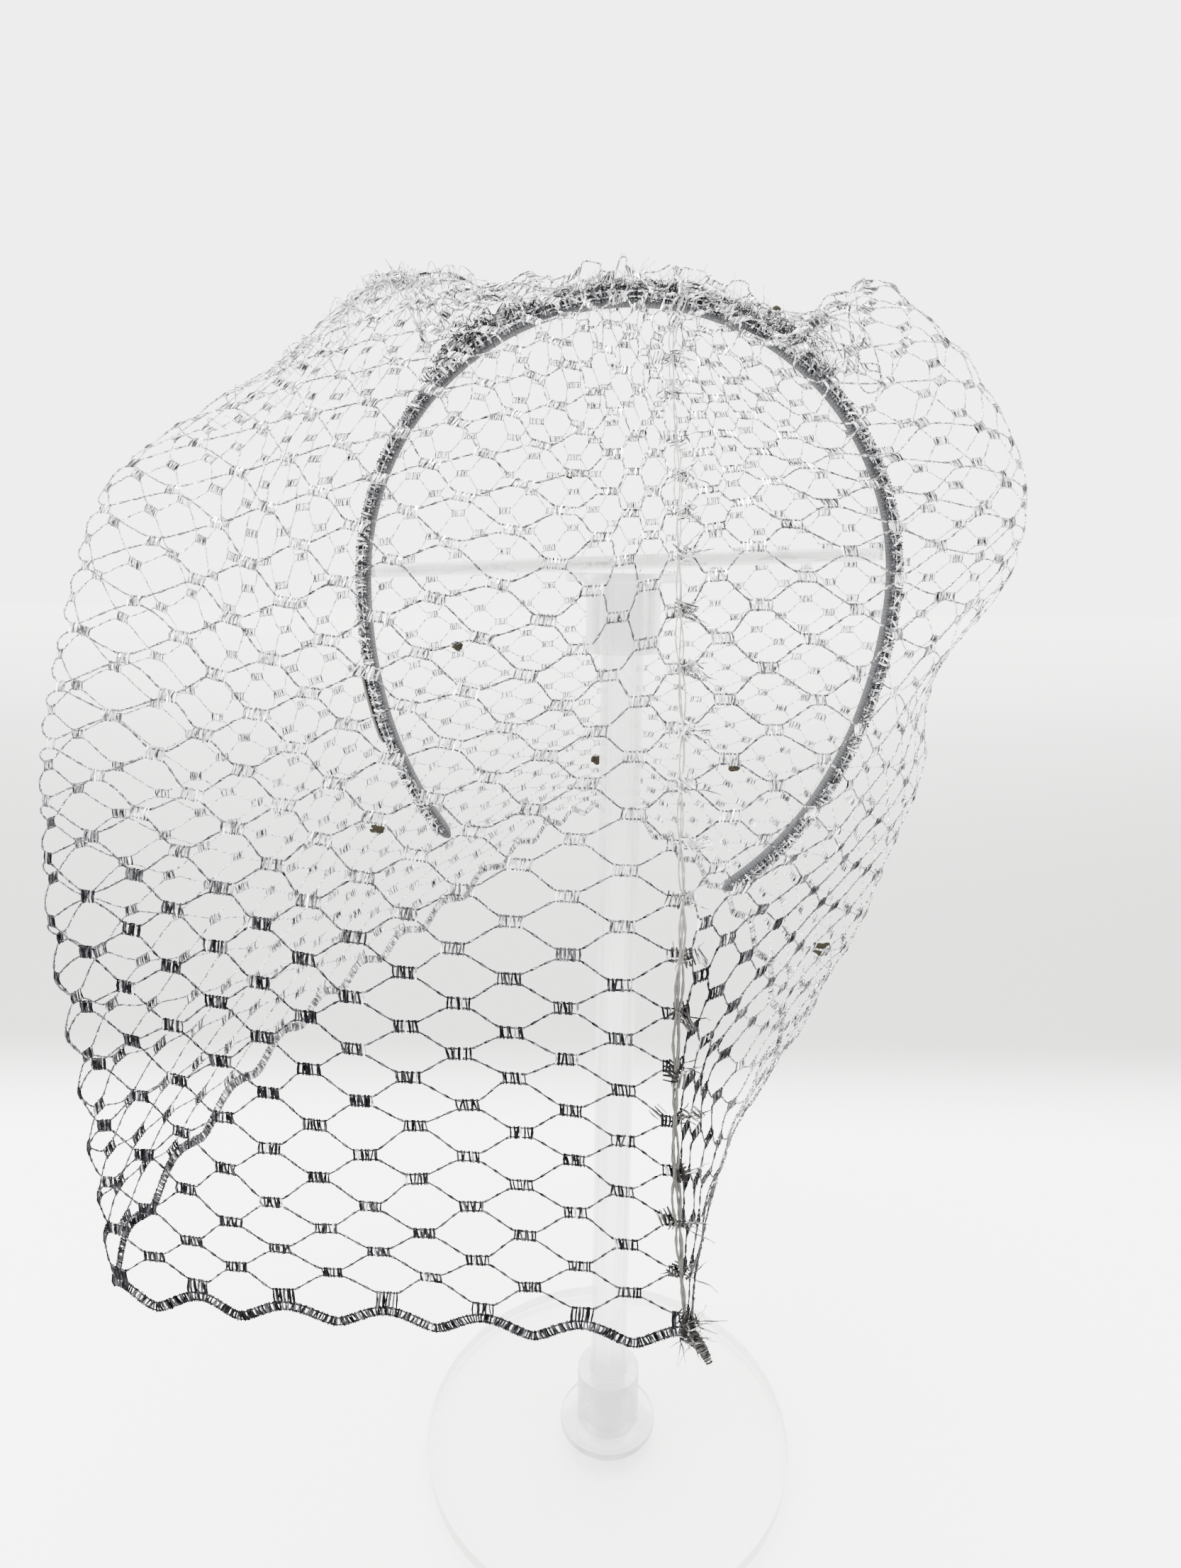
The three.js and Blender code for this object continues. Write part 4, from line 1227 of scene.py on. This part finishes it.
# Painted light and shade of the cut ends and of the bunches.
cut_tone = painted_light_at(cut_root, np.broadcast_to(AHEAD, cut_root.shape), 0.2, 0.7, 0.7)[:, None]
cut_part = ends(cut_root, unit(cut_way), cut_long, 0.2, cut_tone, 0.25)
bunch_slip = rng.normal(0, 1, (len(cut_root) // 2, 3)) * [1.2, 0.5, 0.6]
bunch_middle = np.repeat(cut_root[::6], 3, axis=0) + [0.7, 0, 0] + bunch_slip
bunch_out = np.repeat(AHEAD[None], len(bunch_middle), axis=0)
bunch_part = crumbs(bunch_middle, bunch_out, painted_light_at(bunch_middle, bunch_out, 0.08, 0.75, 0.75))
cut_piece = make_piece("seam_frayed_ends", [cut_part, bunch_part], FUZZ)

# %% [markdown]
# ## Knot
# At the foot of the seam the hem's two ends are tied off. The knot is a ball of tight wraps, and
# the hem's own ladder runs on past it as a short tapering tail that leans to the right.

# %% Knot
KNOT_RADIUS = 1.7
KNOT_ENDS = 80
TAIL_LONG = 9
knot_middle = (hem_path[0] + hem_path[-1]) / 2 + np.array([0.3, -0.6, 0.2])


def wraps(count, middle, radius, thick, tone):
    """Rings about a middle, each on a plane of its own: middle + r (a cos t + b sin t)."""
    axis = unit(rng.normal(0, 1, (count, 3)))
    a = unit(np.cross(axis, LOOSE))
    b = np.cross(axis, a)
    t = np.linspace(0, 1.6 * np.pi, 12)[None, :, None] + rng.uniform(0, 6, (count, 1, 1))
    size = radius * rng.uniform(0.55, 1.05, (count, 1, 1))
    paths = middle + size * (a[:, None] * np.cos(t) + b[:, None] * np.sin(t)) * [1, 0.8, 1.15]
    outward = unit(paths - middle)
    return yarn(paths, outward, thick, thick * 0.7, np.arange(12)[None] * 0.7,
                painted_glints(np.full((count, 12), tone)))


tail_way = unit(np.array([0.5, 0.05, -0.85]))
tail_t = np.linspace(0, 1, 30)[:, None]
tail_path = knot_middle + tail_way * TAIL_LONG * tail_t + np.array([0.6, 0, 0]) * np.sin(3 * tail_t)
tail_side = unit(np.cross(tail_way, AHEAD))
tail_across = np.broadcast_to(tail_side, tail_path.shape) * (1.15 - 0.85 * tail_t)
tail_out = np.broadcast_to(AHEAD, tail_path.shape)
tail_parts = ladder(tail_path, tail_across, tail_out, wide=2.4, spacing=0.6, rail=0.26, rib=0.27,
                    tone=0.18, uneven=0.3)
knot_root = np.repeat(knot_middle[None], KNOT_ENDS, axis=0) + rng.normal(0, 0.8, (KNOT_ENDS, 3))
knot_way = unit(rng.normal(0, 1, (KNOT_ENDS, 3)) + [0.7, -0.2, 0.1])
knot_ends = ends(knot_root, knot_way, rng.uniform(1.5, 4.8, (KNOT_ENDS, 1)), 0.15, 0.3, 0.5)
knot_parts = [wraps(40, knot_middle, KNOT_RADIUS, 0.24, 0.22), knot_ends] + tail_parts
knot_piece = make_piece("frayed_knot", knot_parts, FUZZ, node="seam_knot")

# %% [markdown]
# ## Specks
# A few small olive-brown tufts cling to the net's far side, where bits of lint and dye have
# caught. Each is a lumpy ball: a sphere whose radius is stretched by three sines of its own.

# %% Specks
SPECKS = np.array([[17.9, 12.5], [15.5, 21.8], [12.9, 33.2], [23.0, 33.9], [18.9, 35.7],
                   [27.0, 38.8], [25.3, 3.1]])
SPECK_RADIUS = 1.9


def lumpy_balls(middles, radius, rings=9, sides=14):
    """Balls p + r (1 + sum of sines) d over directions d, with a separate stretch for each."""
    down = np.linspace(0.02, np.pi - 0.02, rings)
    v, a = np.meshgrid(down, np.linspace(0, 2 * np.pi, sides, endpoint=False), indexing="ij")
    way = np.stack([np.sin(v) * np.cos(a), np.sin(v) * np.sin(a), np.cos(v)], axis=-1)
    parts = []
    for middle in middles:
        pull = rng.normal(0, 3, (3, 3))
        lump = 1 + 0.14 * np.sin(way @ pull.T + rng.uniform(0, 6, 3)).sum(axis=-1)
        size = radius * rng.uniform(0.75, 1.2)
        parts.append(sleeve(middle + size * lump[..., None] * way * [1.15, 0.8, 0.9]))
    return parts


speck_place, _ = cloth(SPECKS[:, 0], SPECKS[:, 1])
speck_piece = make_piece("net_specks", lumpy_balls(speck_place, SPECK_RADIUS), SPECK, smooth=True)
tidy(speck_piece)

# %% [markdown]
# ## Floor and light
# A pale floor, a pale room and large soft lights keep the scene bright and almost without shadows,
# as on a white board. Far away the floor glows a little, so that it melts into the room behind it.

# %% Floor
FLOOR_HALF = 6.0
FLOOR_LEVEL = -0.0005


def floor_finish():
    """Pale board with a dimmer stretch of painted shade behind it, by smooth steps of the distance
    y.
    """
    recipe = Recipe("pale_floor", Roughness=0.85, Emission_Strength=2.2)
    place = recipe.add("ShaderNodeTexCoord", out=3)
    away = recipe.add("ShaderNodeSeparateXYZ", None, {0: place}, out=1)
    soft = {"interpolation_type": "SMOOTHSTEP"}
    dims, clears, glows = [recipe.add("ShaderNodeMapRange", soft, {0: away, 1: start, 2: end})
                           for start, end in ((0.16, 0.27), (0.3, 2.2), (1.0, 4.5))]
    # Painted shade: a dark band across the floor behind the piece.
    tone = 1 - dims * (1 - clears)
    recipe.paint("Base Color", recipe.mixed(tone, (0.36, 0.354, 0.345), (0.96, 0.953, 0.94)))
    recipe.paint("Emission Color", recipe.mixed(glows, (0, 0, 0), (0.72, 0.715, 0.7)))
    return recipe.finish


floor_mesh = bpy.data.meshes.new("pale_floor")
floor_corners = [(x * FLOOR_HALF, y * FLOOR_HALF, FLOOR_LEVEL)
                 for x, y in ((-1, -1), (1, -1), (1, 1), (-1, 1))]
floor_mesh.from_pydata(floor_corners, [], [(0, 1, 2, 3)])
floor_mesh.materials.append(floor_finish())
placed("pale_floor", floor_mesh)
print("floor:", 2 * FLOOR_HALF, "m square")

# %% [markdown]
# The room is a world that is dimmer behind the viewer, so that the foil has something dark to
# mirror. Two square lights, from overhead and from the left, model the pieces a little.

# %% Room and lights
ROOM_LIGHT = 5.0


def pale_room():
    """A world that is pale ahead and all round, and dimmer behind, by the y of the way looked."""
    recipe = Recipe("pale_room", bpy.data.worlds, "Background", Strength=ROOM_LIGHT)
    way = recipe.add("ShaderNodeTexCoord")
    ahead = recipe.add("ShaderNodeSeparateXYZ", None, {0: way}, out=1)
    share = recipe.add("ShaderNodeMapRange", None, {0: ahead, 1: -0.75, 2: 0.1, 3: 0, 4: 1})
    recipe.paint("Color", recipe.mixed(share, (0.3, 0.3, 0.31), (1.0, 0.992, 0.975)))
    return recipe.finish


def soft_light(name, place, target, size, power):
    """A square light that faces its target: its own -Z axis is turned to point there."""
    data = bpy.data.lights.new(name, "AREA")
    data.size = size
    data.energy = power
    light = placed(name, data)
    light.location = place
    light.rotation_euler = (Vector(target) - Vector(place)).to_track_quat("-Z", "Y").to_euler()


bpy.context.scene.world = pale_room()
soft_light("overhead_light", (0.0, 0.1, 1.5), (0, 0, 0.2), 1.5, 90)
soft_light("left_light", (-1.1, -0.4, 0.7), (0, 0, 0.2), 0.9, 20)
print("room and two soft lights")

# %% [markdown]
# ## Cut sizes
# For each length of the net the size it was cut to is worked out, as a maker would note it, with
# the yarn's share of that area.

# %% Cut sizes
for length_name, (first, last) in LENGTHS.items():
    cut_long = NET_LONG * (last - first) / CELLS
    cut_wide = NET_WIDTH * MM
    YARN_SHARE * cut_long * cut_wide
